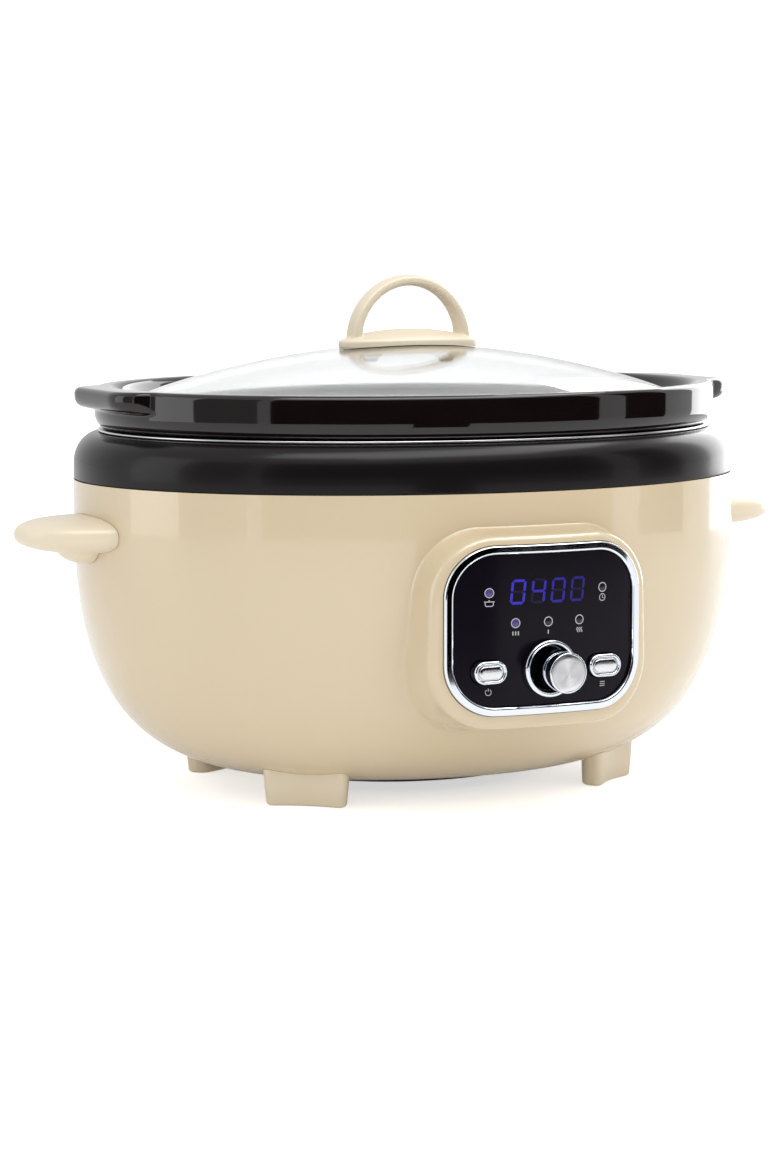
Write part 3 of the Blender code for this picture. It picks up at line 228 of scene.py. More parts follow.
def side_half(z):
    """Half length of the shell at a height, for numbers or arrays."""
    drop = np.clip((SEAM_Z - z) / (SEAM_Z - CURVE_LOW_Z), 0, 1)
    return CURVE_INNER + (HALF_LENGTH - CURVE_INNER) * (1 - drop ** POWER_DOWN) ** (1 / POWER_OUT)


def side_rows(step):
    """Heights down the side curve, at even steps along it."""
    z = SEAM_Z - (SEAM_Z - FLOOR_Z) * np.sin(np.linspace(0, math.pi / 2, 4000)) ** 0.6
    length = np.concatenate([[0], np.cumsum(np.hypot(np.diff(z), np.diff(side_half(z))))])
    return np.interp(np.linspace(0, length[-1], int(length[-1] / step)), length, z)


def rounded_distance(x, z, half_width, half_height, corner):
    """Signed distance to a rounded rectangle: negative inside."""
    across = np.abs(x) - (half_width - corner)
    up = np.abs(z) - (half_height - corner)
    outside = np.hypot(np.maximum(across, 0), np.maximum(up, 0))
    return outside + np.minimum(np.maximum(across, up), 0) - corner


def on_outline(x, z, grow):
    """Moves points along rays from the panel's centre onto its outline, grown by `grow`."""
    near, far = np.zeros_like(x), np.full_like(x, 4.0)
    for _ in range(48):
        middle = (near + far) / 2
        inside = rounded_distance(
            x * middle, z * middle, PANEL_HALF_WIDTH + grow, PANEL_HALF_HEIGHT + grow, PANEL_CORNER + grow
        ) < 0
        near = np.where(inside, middle, near)
        far = np.where(inside, far, middle)
    return x * middle, z * middle


def bow_sag(x):
    """How far the bowed panel falls back from its centre line."""
    return PANEL_BOW - np.sqrt(PANEL_BOW ** 2 - x ** 2)


def shell_front(x, z, away):
    """Y of the shell's front at (x, z), where `away` is the distance outside the panel's opening."""
    half = side_half(z)
    body = -half * OVAL * np.sqrt(np.clip(1 - (x / half) ** 2, 0, 1))
    lower = np.clip((PANEL_Z - z) / PANEL_HALF_HEIGHT / 2 + 0.5, 0, 1)
    away = away - BOSS_FLAT_TOP - lower * (BOSS_FLAT_BOTTOM - BOSS_FLAT_TOP)
    round_off = BOSS_ROUND * math.sin(BOSS_DRAFT)
    turned = np.clip(away, 0, round_off)
    fall = BOSS_ROUND - np.sqrt(BOSS_ROUND ** 2 - turned ** 2)
    fall = fall + np.clip(away - round_off, 0, None) * math.tan(BOSS_DRAFT)
    boss = -(PANEL_FRONT - BOSS_SETBACK) + bow_sag(x) + fall
    blend = np.clip(1 - np.abs(boss - body) / BOSS_FILLET, 0, 1)
    return np.minimum(boss, body) - blend ** 2 * BOSS_FILLET / 4


def add_piece(name, points, faces, materials, sharp=40):
    """A smooth-shaded piece whose points are counted from the oval's centre."""
    mesh = bpy.data.meshes.new(name)
    points = np.asarray(points, float) + (0.0, MIDDLE_Y, 0.0)
    mesh.from_pydata(points.tolist(), [], faces)
    work = bmesh.new()
    work.from_mesh(mesh)
    bmesh.ops.remove_doubles(work, verts=work.verts, dist=0.000002)
    if all(edge.is_manifold for edge in work.edges):
        bmesh.ops.recalc_face_normals(work, faces=work.faces)
    work.to_mesh(mesh)
    work.free()
    for material in materials:
        mesh.materials.append(material)
    mesh.shade_smooth()
    mesh.set_sharp_from_angle(angle=math.radians(sharp))
    piece = bpy.data.objects.new(name, mesh)
    bpy.context.scene.collection.objects.link(piece)
    return piece


def as_mesh(piece):
    """Applies a piece's modifiers, so that only a plain mesh is left."""
    bpy.context.view_layer.update()
    graph = bpy.context.evaluated_depsgraph_get()
    made = bpy.data.meshes.new_from_object(piece.evaluated_get(graph))
    made.name = piece.name
    piece.modifiers.clear()
    old = piece.data
    piece.data = made
    bpy.data.meshes.remove(old)
    return piece


def ring_faces(first, second, flip=False):
    """Quads between two closed rings of vertex numbers."""
    faces = []
    for index in range(len(first)):
        after = (index + 1) % len(first)
        face = (first[index], second[index], second[after], first[after])
        faces.append(face[::-1] if flip else face)
    return faces


def shell_sheet():
    """The shell's outer face: an oval grid with a patch of rings round the panel's opening."""
    heights = side_rows(0.0024)
    columns = 360
    angle = math.radians(-90) + np.arange(columns) * math.tau / columns
    floor_rows = np.linspace(float(side_half(FLOOR_Z)), PLATE_HALF * 0.8, 8)[1:]
    half = np.concatenate([side_half(heights), floor_rows])
    level = np.concatenate([heights, np.full(7, FLOOR_Z)])
    x = half[:, None] * np.cos(angle)
    y = half[:, None] * OVAL * np.sin(angle)
    z = np.repeat(level[:, None], columns, axis=1)
    points = np.stack([x, y, z], -1).reshape(-1, 3)
    top = int(np.argmax(heights < PANEL_Z + PANEL_HALF_HEIGHT + 0.0185))
    bottom = int(np.argmax(heights < PANEL_Z - PANEL_HALF_HEIGHT - 0.0195))
    reach = 26
    faces = []
    for row in range(len(level) - 1):
        for column in range(columns):
            in_front = column < reach or column >= columns - reach
            if top <= row < bottom and in_front:
                continue
            after = (column + 1) % columns
            here, below = row * columns, (row + 1) * columns
            faces.append((here + column, below + column, below + after, here + after))
    across = [column % columns for column in range(-reach, reach + 1)]
    loop = [top * columns + column for column in across]
    loop += [row * columns + reach for row in range(top + 1, bottom)]
    loop += [bottom * columns + column for column in across[::-1]]
    loop += [row * columns + (columns - reach) for row in range(bottom - 1, top, -1)]
    edge_x, edge_z = points[loop, 0], points[loop, 2] - PANEL_Z
    grows = list(np.linspace(0, 0.0088, 34)) + [0.0093, 0.0100, 0.0110, 0.0125]
    rings = []
    for grow in grows:
        ring_x, ring_z = on_outline(edge_x, edge_z, grow + 0.0003)
        rings.append((ring_x, ring_z, np.full_like(ring_x, grow)))
    last_x, last_z, _ = rings[-1]
    for share in (0.3, 0.6):
        ring_x = last_x + share * (edge_x - last_x)
        ring_z = last_z + share * (edge_z - last_z)
        rings.append((ring_x, ring_z, np.full_like(ring_x, 0.03)))
    stack = [points]
    numbers = []
    count = len(points)
    lip_x, lip_z, _ = rings[0]
    lip_y = shell_front(lip_x, lip_z + PANEL_Z, 0.0) + BOSS_LIP
    stack.append(np.stack([lip_x, lip_y, lip_z + PANEL_Z], -1))
    numbers.append(list(range(count, count + len(loop))))
    count += len(loop)
    for ring_x, ring_z, away in rings:
        ring_y = shell_front(ring_x, ring_z + PANEL_Z, away)
        stack.append(np.stack([ring_x, ring_y, ring_z + PANEL_Z], -1))
        numbers.append(list(range(count, count + len(loop))))
        count += len(loop)
    numbers.append(loop)
    for inner, outer in zip(numbers, numbers[1:]):
        faces += ring_faces(inner, outer, flip=True)
    return np.concatenate(stack), faces


def new_group(name, inputs, outputs):
    """A shader node group with named sockets; gives the tree and its two end nodes."""
    tree = bpy.data.node_groups.new(name, "ShaderNodeTree")
    for socket, kind in inputs:
        tree.interface.new_socket(name=socket, in_out="INPUT", socket_type=kind)
    for socket, kind in outputs:
        tree.interface.new_socket(name=socket, in_out="OUTPUT", socket_type=kind)
    return tree, tree.nodes.new("NodeGroupInput"), tree.nodes.new("NodeGroupOutput")


def noise(tree, coordinates, per_metre, detail=3.0, roughness=0.55):
    node = tree.nodes.new("ShaderNodeTexNoise")
    node.inputs["Detail"].default_value = detail
    node.inputs["Roughness"].default_value = roughness
    tree.links.new(coordinates, node.inputs["Vector"])
    if hasattr(per_metre, "is_linked"):
        tree.links.new(per_metre, node.inputs["Scale"])
    else:
        node.inputs["Scale"].default_value = per_metre
    return node.outputs["Fac"]


def two_tones(tree, factor, first, second):
    """A node that mixes two colours by a value."""
    node = tree.nodes.new("ShaderNodeMix")
    node.data_type = "RGBA"
    node.inputs["A"].default_value = first
    node.inputs["B"].default_value = second
    tree.links.new(factor, node.inputs["Factor"])
    return node


def vary_polish(tree, shader, value, polish):
    """Runs the shader's roughness between two levels by a value."""
    node = tree.nodes.new("ShaderNodeMapRange")
    node.inputs["To Min"].default_value, node.inputs["To Max"].default_value = polish
    tree.links.new(value, node.inputs["Value"])
    tree.links.new(node.outputs["Result"], shader.inputs["Roughness"])


def raise_skin(tree, shader, height, strength, distance):
    """Fine relief in the shader's surface from a height value."""
    node = tree.nodes.new("ShaderNodeBump")
    node.inputs["Strength"].default_value = strength
    node.inputs["Distance"].default_value = distance
    tree.links.new(height, node.inputs["Height"])
    tree.links.new(node.outputs["Normal"], shader.inputs["Normal"])


def moulding_group():
    """Slow drift of tone and of polish over a moulding, and the fine texture of its skin."""
    number, colour = "NodeSocketFloat", "NodeSocketColor"
    tree, given, made = new_group(
        "moulded skin",
        [("Tone", colour), ("Second Tone", colour), ("Patches", number), ("Polish Low", number),
         ("Polish High", number), ("Grain", number)],
        [("Colour", colour), ("Roughness", number), ("Height", number)],
    )
    place = tree.nodes.new("ShaderNodeTexCoord").outputs["Object"]
    patches = noise(tree, place, given.outputs["Patches"], 1.0)
    mix = tree.nodes.new("ShaderNodeMix")
    mix.data_type = "RGBA"
    tree.links.new(patches, mix.inputs["Factor"])
    tree.links.new(given.outputs["Tone"], mix.inputs["A"])
    tree.links.new(given.outputs["Second Tone"], mix.inputs["B"])
    tree.links.new(mix.outputs["Result"], made.inputs["Colour"])
    grain = noise(tree, place, given.outputs["Grain"], 2.0)
    polish = tree.nodes.new("ShaderNodeMapRange")
    tree.links.new(patches, polish.inputs["Value"])
    tree.links.new(given.outputs["Polish Low"], polish.inputs["To Min"])
    tree.links.new(given.outputs["Polish High"], polish.inputs["To Max"])
    tree.links.new(polish.outputs["Result"], made.inputs["Roughness"])
    tree.links.new(grain, made.inputs["Height"])
    return tree


MOULDED_SKIN = moulding_group()


def moulded(name, tone, second, polish, patches=22.0, grain=900.0, relief=0.00002, coat=0.0, metallic=0.0):
    """A moulded, painted or plated finish with the skin's drift and grain."""
    material, tree, shader = new_material(name)
    skin = tree.nodes.new("ShaderNodeGroup")
    skin.node_tree = MOULDED_SKIN
    skin.inputs["Tone"].default_value = (*tone, 1.0)
    skin.inputs["Second Tone"].default_value = (*second, 1.0)
    skin.inputs["Patches"].default_value = patches
    skin.inputs["Polish Low"].default_value = polish[0]
    skin.inputs["Polish High"].default_value = polish[1]
    skin.inputs["Grain"].default_value = grain
    tree.links.new(skin.outputs["Colour"], shader.inputs["Base Color"])
    tree.links.new(skin.outputs["Roughness"], shader.inputs["Roughness"])
    raise_skin(tree, shader, skin.outputs["Height"], 1.0, relief)
    shader.inputs["Metallic"].default_value = metallic
    shader.inputs["Coat Weight"].default_value = coat
    shader.inputs["Coat Roughness"].default_value = 0.04
    return material


cream_lacquer = moulded(
    "cream lacquer", (0.665, 0.545, 0.365), (0.700, 0.580, 0.395), (0.200, 0.265), 9.0, 420.0, 0.00002, 0.9
)
shell_points, shell_faces = shell_sheet()
shell = add_piece("shell", shell_points, shell_faces, [cream_lacquer], 60)
thicken = shell.modifiers.new("wall", "SOLIDIFY")
thicken.thickness = WALL
thicken.offset = -1.0
as_mesh(shell)
shell.data.shade_smooth()
shell.data.set_sharp_from_angle(angle=math.radians(50))
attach(shell, "housing")
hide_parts("outer_shell")


# The collar ring: a dark grey-brown satin moulding that sits on the shell's top edge, a tongue
# inside it, and curves in to the well's lip. A fine dark joint shows where it meets the shell.

COLLAR_INSET = 0.013
COLLAR_STRAIGHT = 0.008
COLLAR_WALL = 0.0026
EDGE_ROUND = 0.0006
STEPS = 256


def arc_points(centre_half, centre_z, radius_half, radius_z, start, end, count):
    """Points of an elliptic arc in the profile plane; angles in degrees from outwards to up."""
    angles = np.radians(np.linspace(start, end, count))
    return [(centre_half + radius_half * math.cos(a), centre_z + radius_z * math.sin(a)) for a in angles]


def oval_piece(name, outline, materials, steps=STEPS, sharp=40, reach=None):
    """Sweeps a profile round the body's oval. `reach` may push points out by angle and row."""
    outline = np.array(outline)
    angle = np.arange(steps) * math.tau / steps
    half = np.repeat(outline[:, :1], steps, axis=1)
    x = half * np.cos(angle)
    y = half * OVAL * np.sin(angle)
    z = np.repeat(outline[:, 1:2], steps, axis=1)
    if reach is not None:
        x, y, z = reach(x, y, z)
    points = np.stack([x, y, z], -1).reshape(-1, 3)
    rows = len(outline)
    numbers = [list(range(row * steps, (row + 1) * steps)) for row in range(rows)]
    faces = []
    for first, second in zip(numbers, numbers[1:] + numbers[:1]):
        faces += ring_faces(first, second)
    return add_piece(name, points, faces, materials, sharp)


def collar_outline():
    top_z = collar_high.z
    outer = collar_high.x
    bend_z = SEAM_Z + COLLAR_STRAIGHT
    rise = top_z - bend_z
    tongue = HALF_LENGTH - WALL - 0.0003
    outline = arc_points(outer - COLLAR_INSET, bend_z, COLLAR_INSET, rise, 88, 0, 22)
    outline += arc_points(outer - EDGE_ROUND, SEAM_Z + 0.0003 + EDGE_ROUND, EDGE_ROUND, EDGE_ROUND, 0, -90, 5)
    outline += [(tongue, SEAM_Z + 0.0003), (tongue, collar_low.z)]
    outline += [(tongue - COLLAR_WALL, collar_low.z), (tongue - COLLAR_WALL, bend_z)]
    inset = COLLAR_INSET - COLLAR_WALL
    inner = tongue - COLLAR_WALL - inset
    outline += arc_points(inner, bend_z, inset, rise - COLLAR_WALL, 10, 90, 8)
    outline += arc_points(inner - 0.0002, top_z - 0.0008, 0.0008, 0.0008, 180, 90, 4)
    return outline


collar_satin = moulded(
    "collar satin", (0.0065, 0.0050, 0.0055), (0.0085, 0.0065, 0.0072), (0.20, 0.26),
    14.0, 1500.0, 0.00002, 0.06,
)
collar_satin.node_tree.nodes["Principled BSDF"].inputs["Specular IOR Level"].default_value = 0.20
collar = oval_piece("collar", collar_outline(), [collar_satin])
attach(collar, "housing")
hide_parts("collar_ring")


# The heating well: pressed from aluminium-coated sheet, with a rolled lip that rests on the collar
# and shows as a thin bright line under the crock. The crock hangs from it and clears its walls.

well_low, well_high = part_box("heating_well")
LIP_HALF = well_high.x
LIP_THICK = 0.0012
WELL_WALL = 0.0010
WELL_CORNER = 0.020
WELL_FLOOR_HALF = 0.1445
WELL_HALF = LIP_HALF - 0.0085


def well_outline():
    top, under = well_high.z, well_high.z - LIP_THICK
    floor_z = well_low.z + WELL_WALL
    corner_z = floor_z + WELL_CORNER
    curl = LIP_THICK / 2
    outline = [(0.0005, floor_z)]
    outline += [(half, floor_z) for half in np.linspace(0.03, WELL_FLOOR_HALF - WELL_CORNER, 6)]
    outline += arc_points(WELL_FLOOR_HALF - WELL_CORNER, corner_z, WELL_CORNER, WELL_CORNER, -80, 0, 9)
    outline += arc_points(WELL_HALF + 0.0015, top - 0.0015, 0.0015, 0.0015, 180, 90, 5)
    outline += arc_points(LIP_HALF - curl, top - curl, curl, curl, 90, -90, 9)
    outline += [(WELL_HALF + WELL_WALL + 0.0012, under), (WELL_HALF + WELL_WALL, under - 0.0012)]
    outer = WELL_CORNER + WELL_WALL
    outline += arc_points(WELL_FLOOR_HALF - WELL_CORNER, corner_z, outer, outer, 0, -90, 9)
    outline += [(0.0005, well_low.z)]
    return outline


def drawn_metal(name, tone, polish, stretch, relief):
    """Bare sheet metal with fine lines, which `stretch` draws out along an axis."""
    material, tree, shader = new_material(name)
    place = tree.nodes.new("ShaderNodeTexCoord").outputs["Object"]
    mapping = tree.nodes.new("ShaderNodeMapping")
    mapping.inputs["Scale"].default_value = stretch
    tree.links.new(place, mapping.inputs["Vector"])
    lines = noise(tree, mapping.outputs["Vector"], 300.0, 3.0)
    vary_polish(tree, shader, lines, polish)
    shade = two_tones(tree, lines, (*[0.85 * part for part in tone], 1.0), (*tone, 1.0))
    tree.links.new(shade.outputs["Result"], shader.inputs["Base Color"])
    bump = tree.nodes.new("ShaderNodeBump")
    bump.inputs["Distance"].default_value = relief
    tree.links.new(lines, bump.inputs["Height"])
    tree.links.new(bump.outputs["Normal"], shader.inputs["Normal"])
    shader.inputs["Metallic"].default_value = 1.0
    return material


well_sheet = drawn_metal("well sheet", (0.74, 0.74, 0.75), (0.16, 0.30), (0.15, 0.15, 1.0), 0.00002)
well = oval_piece("well", well_outline(), [well_sheet])
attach(well, "housing")
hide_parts("heating_well")


# The crock: thick stoneware under a glossy glaze, brown-black where it is deep and browner where it
# thins over the edges. The rim has an upright band, an undercut that sits on the well's lip, a
# ledge inside for the lid, and a flat lug at each end to lift it by. It is thrown in one with them.

crock_low, crock_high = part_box("crock")
RIM_HALF = 0.162
RIM_TOP = crock_high.z
RIM_UNDERCUT = 0.0055
RIM_STRAIGHT = 0.0115
RIM_ROUND = 0.0030
RIM_LAND = 0.0085
LID_PLAY = 0.0015
LEDGE_DROP = 0.0102
LEDGE_WIDTH = 0.0075
LUG_REACH = crock_high.x
LUG_HALF_WIDTH = 0.040
LUG_CORNER = 0.018
LUG_THICK = 0.0100
CROCK_PLAY = 0.0016
CROCK_WALL = 0.0075
CROCK_FLOOR = 0.0080


def lug_outline(angle):
    """How far past the rim's oval the lug reaches at an angle, as a share of the oval."""
    across, along = np.cos(angle), np.sin(angle)
    scale = np.full_like(angle, 1.0)
    for _ in range(40):
        x = np.abs(RIM_HALF * across * scale)
        y = np.abs(RIM_HALF * OVAL * along * scale)
        out = rounded_distance(x, y, LUG_REACH, LUG_HALF_WIDTH, LUG_CORNER)
        scale = scale - np.clip(out, -0.02, 0.02) / RIM_HALF
    lug = np.maximum(scale, 0.8)
    soft = 0.030
    blend = np.clip(1 - np.abs(lug - 1.0) / soft, 0, 1)
    return np.maximum(lug, 1.0) + blend ** 2 * soft / 4


def with_share(points, share):
    return [(half, z, share) for half, z in points]


def crock_outline():
    """Profile with a third value in each row: how much of the lug's reach it takes."""
    rows = []
    under_z = well_high.z + 0.0003
    ledge_half = RIM_HALF - RIM_ROUND - RIM_LAND - LID_PLAY
    wall_half = ledge_half - LEDGE_WIDTH
    floor_half = WELL_FLOOR_HALF - CROCK_PLAY - CROCK_WALL
    floor_z = crock_low.z + CROCK_FLOOR
    ledge_z = RIM_TOP - LEDGE_DROP
    rows += [(half, floor_z, 0) for half in (0.0005, 0.04, 0.08, floor_half - WELL_CORNER)]
    inside = arc_points(floor_half - WELL_CORNER, floor_z + WELL_CORNER, WELL_CORNER, WELL_CORNER, -80, 0, 9)
    rows += with_share(inside, 0)
    rows += [(wall_half - 0.0005, ledge_z - 0.006, 0), (wall_half, ledge_z - 0.0025, 0)]
    rows += with_share(arc_points(wall_half + 0.0022, ledge_z - 0.0022, 0.0022, 0.0022, 180, 90, 5), 0)
    hollow = arc_points(ledge_half - 0.0015, ledge_z + 0.0015, 0.0015, 0.0015, -90, -10, 4)
    rows += with_share(hollow, 0)
    land = RIM_HALF - RIM_ROUND - RIM_LAND
    rows += with_share(arc_points(land + 0.0045, RIM_TOP - 0.0038, 0.0045, 0.0038, 170, 92, 8), 0)
    rows += [(RIM_HALF - RIM_ROUND - 0.0005, RIM_TOP, 0.8)]
    edge = arc_points(RIM_HALF - RIM_ROUND, RIM_TOP - RIM_ROUND, RIM_ROUND, RIM_ROUND, 90, 0, 7)
    rows += with_share(edge, 1)
    lug_low = RIM_TOP - LUG_THICK
    rows += [
        (RIM_HALF, lug_low + above, share)
        for above, share in (
            (0.0055, 1.0), (0.0035, 0.97), (0.0018, 0.88), (0.0006, 0.72), (0.0, 0.50),
            (-0.0002, 0.25), (-0.0009, 0.06), (-0.0018, 0.0),
        )
    ]
    turn_z = RIM_TOP - RIM_STRAIGHT - 0.001
    tuck = arc_points(RIM_HALF - RIM_UNDERCUT, turn_z, RIM_UNDERCUT, turn_z - under_z, 0, -88, 10)
    rows += with_share(tuck, 0)
    body_half = WELL_HALF - CROCK_PLAY
    rows += [(body_half + 0.0012, under_z, 0), (body_half, under_z - 0.0015, 0)]
    half = WELL_FLOOR_HALF - CROCK_PLAY
    outside = arc_points(half - WELL_CORNER, crock_low.z + WELL_CORNER, WELL_CORNER, WELL_CORNER, 0, -90, 9)
    rows += with_share(outside, 0)
    rows += [(0.0005, crock_low.z, 0)]
    return rows


crock_rows = crock_outline()


def with_lugs(x, y, z):
    angle = np.arctan2(y / OVAL, x)
    share = np.array([row[2] for row in crock_rows])[:, None]
    swell = 1 + (lug_outline(angle) - 1) * share
    return x * swell, y * swell, z


def glaze_finish():
    """Deep glaze with a slight roll in its surface and fine brown flecks."""
    material, tree, shader = new_material("crock glaze")
    place = tree.nodes.new("ShaderNodeTexCoord").outputs["Object"]
    roll = noise(tree, place, 26.0, 2.0)
    speck = noise(tree, place, 900.0, 2.0)
    tone = two_tones(tree, roll, (0.0035, 0.0018, 0.0022, 1.0), (0.0090, 0.0055, 0.0060, 1.0))
    fleck = tree.nodes.new("ShaderNodeMapRange")
    fleck.inputs["From Min"].default_value = 0.70
    fleck.inputs["From Max"].default_value = 0.80
    tree.links.new(speck, fleck.inputs["Value"])
    flecked = tree.nodes.new("ShaderNodeMix")
    flecked.data_type = "RGBA"
    flecked.inputs["B"].default_value = (0.020, 0.012, 0.010, 1.0)
    tree.links.new(fleck.outputs["Result"], flecked.inputs["Factor"])
    tree.links.new(tone.outputs["Result"], flecked.inputs["A"])
    tree.links.new(flecked.outputs["Result"], shader.inputs["Base Color"])
    raise_skin(tree, shader, roll, 0.35, 0.0004)
    shader.inputs["Roughness"].default_value = 0.05
    shader.inputs["IOR"].default_value = 1.5
    shader.inputs["Coat Weight"].default_value = 0.15
    shader.inputs["Coat Roughness"].default_value = 0.02
    return material


crock = oval_piece(
    "crock_body", [row[:2] for row in crock_rows], [glaze_finish()], steps=360, sharp=70, reach=with_lugs
)
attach(crock, "crock")
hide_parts("crock")


# The lid: a shallow dome of clear tempered glass, 3.8 mm thick with a ground and fire-polished
# edge, that drops onto the ledge inside the crock's rim.

glass_low, glass_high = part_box("lid_glass")
GLASS = 0.0038
GLASS_HALF = glass_high.x
GLASS_EDGE_Z = glass_low.z + GLASS
GLASS_TOP = glass_high.z
GLASS_POWER = 1.9
GLASS_FLAT = 0.004


def dome(half):
    share = min(half / (GLASS_HALF - GLASS_FLAT), 1.0)
    return GLASS_EDGE_Z + (GLASS_TOP - GLASS_EDGE_Z) * (1 - share ** GLASS_POWER)


def lid_outline():
    halves = [0.0003] + list(np.linspace(0.006, GLASS_HALF - GLASS_FLAT, 44))
    above = [(half, dome(half)) for half in halves]
    bead = GLASS / 2
    edge = arc_points(GLASS_HALF - bead, GLASS_EDGE_Z - bead, bead, bead, 85, -85, 13)
    below = [(half, dome(half) - GLASS) for half in halves[::-1]]
    return above + edge + below


def clear_glass():
    material, tree, shader = new_material("lid glass")
    place = tree.nodes.new("ShaderNodeTexCoord").outputs["Object"]
    haze = noise(tree, place, 60.0, 4.0)
    vary_polish(tree, shader, haze, (0.0, 0.05))
    tint = two_tones(tree, haze, (0.970, 0.982, 0.985, 1.0), (0.985, 0.992, 0.995, 1.0))
    tree.links.new(tint.outputs["Result"], shader.inputs["Base Color"])
    shader.inputs["IOR"].default_value = 1.5
    shader.inputs["Transmission Weight"].default_value = 1.0
    return material


lid_glass = oval_piece("glass_dome", lid_outline(), [clear_glass()], steps=320, sharp=60)
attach(lid_glass, "lid")
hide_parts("lid_glass")


# The lid's handle: one cream moulding, an oval foot with a crowned top and a half-round arch that
# stands on it. It is held from below by two screws with silicone washers.

handle_low, handle_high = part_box("lid_handle")
GRIP_HALF_LENGTH = handle_high.x
GRIP_HALF_DEPTH = (handle_high.y - handle_low.y) / 2
GRIP_LOW = dome(GRIP_HALF_LENGTH) + 0.0003
GRIP_EDGE = 0.0040
GRIP_CROWN = 0.0056
ARCH_RADIUS = 0.0327
ARCH_THICK = 0.0054
ARCH_WIDTH = 0.0104
ARCH_CENTRE_Z = handle_high.z - ARCH_RADIUS
VOXEL = 0.00045


def grip_foot():
    """The foot as stacked rings: upright edge, rolled shoulder, crowned top."""
    rows = [(0.001, GRIP_LOW - 0.004), (0.95, GRIP_LOW - 0.004), (0.985, GRIP_LOW), (1.0, GRIP_LOW + 0.0008)]
    rows += [(1.0, GRIP_LOW + GRIP_EDGE - 0.001), (0.985, GRIP_LOW + GRIP_EDGE)]
    crown_z = GRIP_LOW + GRIP_EDGE
    for share in (0.93, 0.85, 0.75, 0.62, 0.48, 0.32, 0.16, 0.001):
        rows.append((share, crown_z + GRIP_CROWN * (1 - share ** 2.2)))
    angle = np.arange(96) * math.tau / 96
    points, faces = [], []
    for row, (share, z) in enumerate(rows):
        blunt_x = np.sign(np.cos(angle)) * np.abs(np.cos(angle)) ** 0.86
        blunt_y = np.sign(np.sin(angle)) * np.abs(np.sin(angle)) ** 0.86
        x = GRIP_HALF_LENGTH * share * blunt_x
        y = GRIP_HALF_DEPTH * share * blunt_y
        points.append(np.stack([x, y, np.full_like(x, z)], -1))
        if row:
            first = list(range((row - 1) * 96, row * 96))
            faces += ring_faces(first, [number + 96 for number in first])
    return np.concatenate(points), faces


def arch_tube():
    """The arch as a flattened tube along a half circle, wider where it meets the foot."""
    points, faces = [], []
    spread = np.arange(32) * math.tau / 32
    middle = ARCH_RADIUS - ARCH_THICK / 2
    path = np.linspace(0, math.pi, 61)
    count = len(path)
    for step, turn in enumerate(path):
        foot = abs(math.cos(turn)) ** 6
        half_thick = ARCH_THICK / 2 * (1 + 0.10 * foot)
        half_width = ARCH_WIDTH / 2 * (1 + 0.16 * foot)
        out = half_thick * np.sign(np.cos(spread)) * np.abs(np.cos(spread)) ** 0.7
        side = half_width * np.sign(np.sin(spread)) * np.abs(np.sin(spread)) ** 0.7
        reach = middle + out
        x = reach * math.cos(turn)
        z = ARCH_CENTRE_Z + reach * math.sin(turn)
        points.append(np.stack([x, side, z], -1))
        if step:
            first = list(range((step - 1) * 32, step * 32))
            faces += ring_faces(first, [number + 32 for number in first])
    for end in (0, count - 1):
        base = points[end].copy()
        base[:, 2] = GRIP_LOW - 0.001
        points.append(base)
        start = (len(points) - 1) * 32
        faces += ring_faces(list(range(end * 32, end * 32 + 32)), list(range(start, start + 32)))
        faces.append(tuple(range(start, start + 32)))
    return np.concatenate(points), faces


def joined(shapes):
    """Several shapes' points and faces as one shape's."""
    points, faces, count = [], [], 0
    for shape_points, shape_faces in shapes:
        points.append(shape_points)
        faces += [tuple(number + count for number in face) for face in shape_faces]
        count += len(shape_points)
    return np.concatenate(points), faces


def subtract(piece, cutter):
    """Takes a closed cutter out of a closed piece, and the cutter out of the scene."""
    cut = piece.modifiers.new("cut", "BOOLEAN")
    cut.solver = "EXACT"
    cut.operation = "DIFFERENCE"
    cut.object = cutter
    as_mesh(piece)
    bpy.data.objects.remove(cutter, do_unlink=True)


def melted(name, shapes, materials, voxel, smooth, cut):
    """Joins closed shapes, melts their joints together and smooths them into one moulding."""
    piece = add_piece(name, *joined(shapes), materials, 180)
    remesh = piece.modifiers.new("melt", "REMESH")
    remesh.mode = "VOXEL"
    remesh.voxel_size = voxel
    as_mesh(piece)
    relax = piece.modifiers.new("relax", "SMOOTH")
    relax.factor = 0.5
    relax.iterations = smooth
    as_mesh(piece)
    subtract(piece, cut)
    piece.data.shade_smooth()
    piece.data.set_sharp_from_angle(angle=math.radians(50))
    return piece


def capped(points, faces, rings, steps):
    """Closes the first and last ring of a stack of rings with one face each."""
    faces = list(faces)
    faces.append(tuple(range(steps))[::-1])
    faces.append(tuple(range((rings - 1) * steps, rings * steps)))
    return points, faces


def dome_block():
    """Everything under the glass's top, for cutting what stands on it."""
    outline = [(0.0003, GRIP_LOW - 0.02)] + [(0.06, GRIP_LOW - 0.02)]
    outline += [(half, dome(half) + 0.0003) for half in np.linspace(0.06, 0.0003, 24)]
    return oval_piece("dome block", outline, [], steps=96)


handle_cream = moulded(
    "handle cream", (0.790, 0.690, 0.520), (0.815, 0.715, 0.545), (0.34, 0.42), 30.0, 1700.0, 0.00003, 0.12
)
foot_points, foot_faces = grip_foot()
foot_shape = capped(foot_points, foot_faces, 14, 96)
lid_grip = melted("lid_grip", [foot_shape, arch_tube()], [handle_cream], VOXEL, 6, dome_block())
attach(lid_grip, "lid")
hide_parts("lid_handle")


# The side handles: two cream mouldings, flat rounded wings with a small bracket under the root,
# screwed on from inside the shell. They meet its wall with a fine joint.

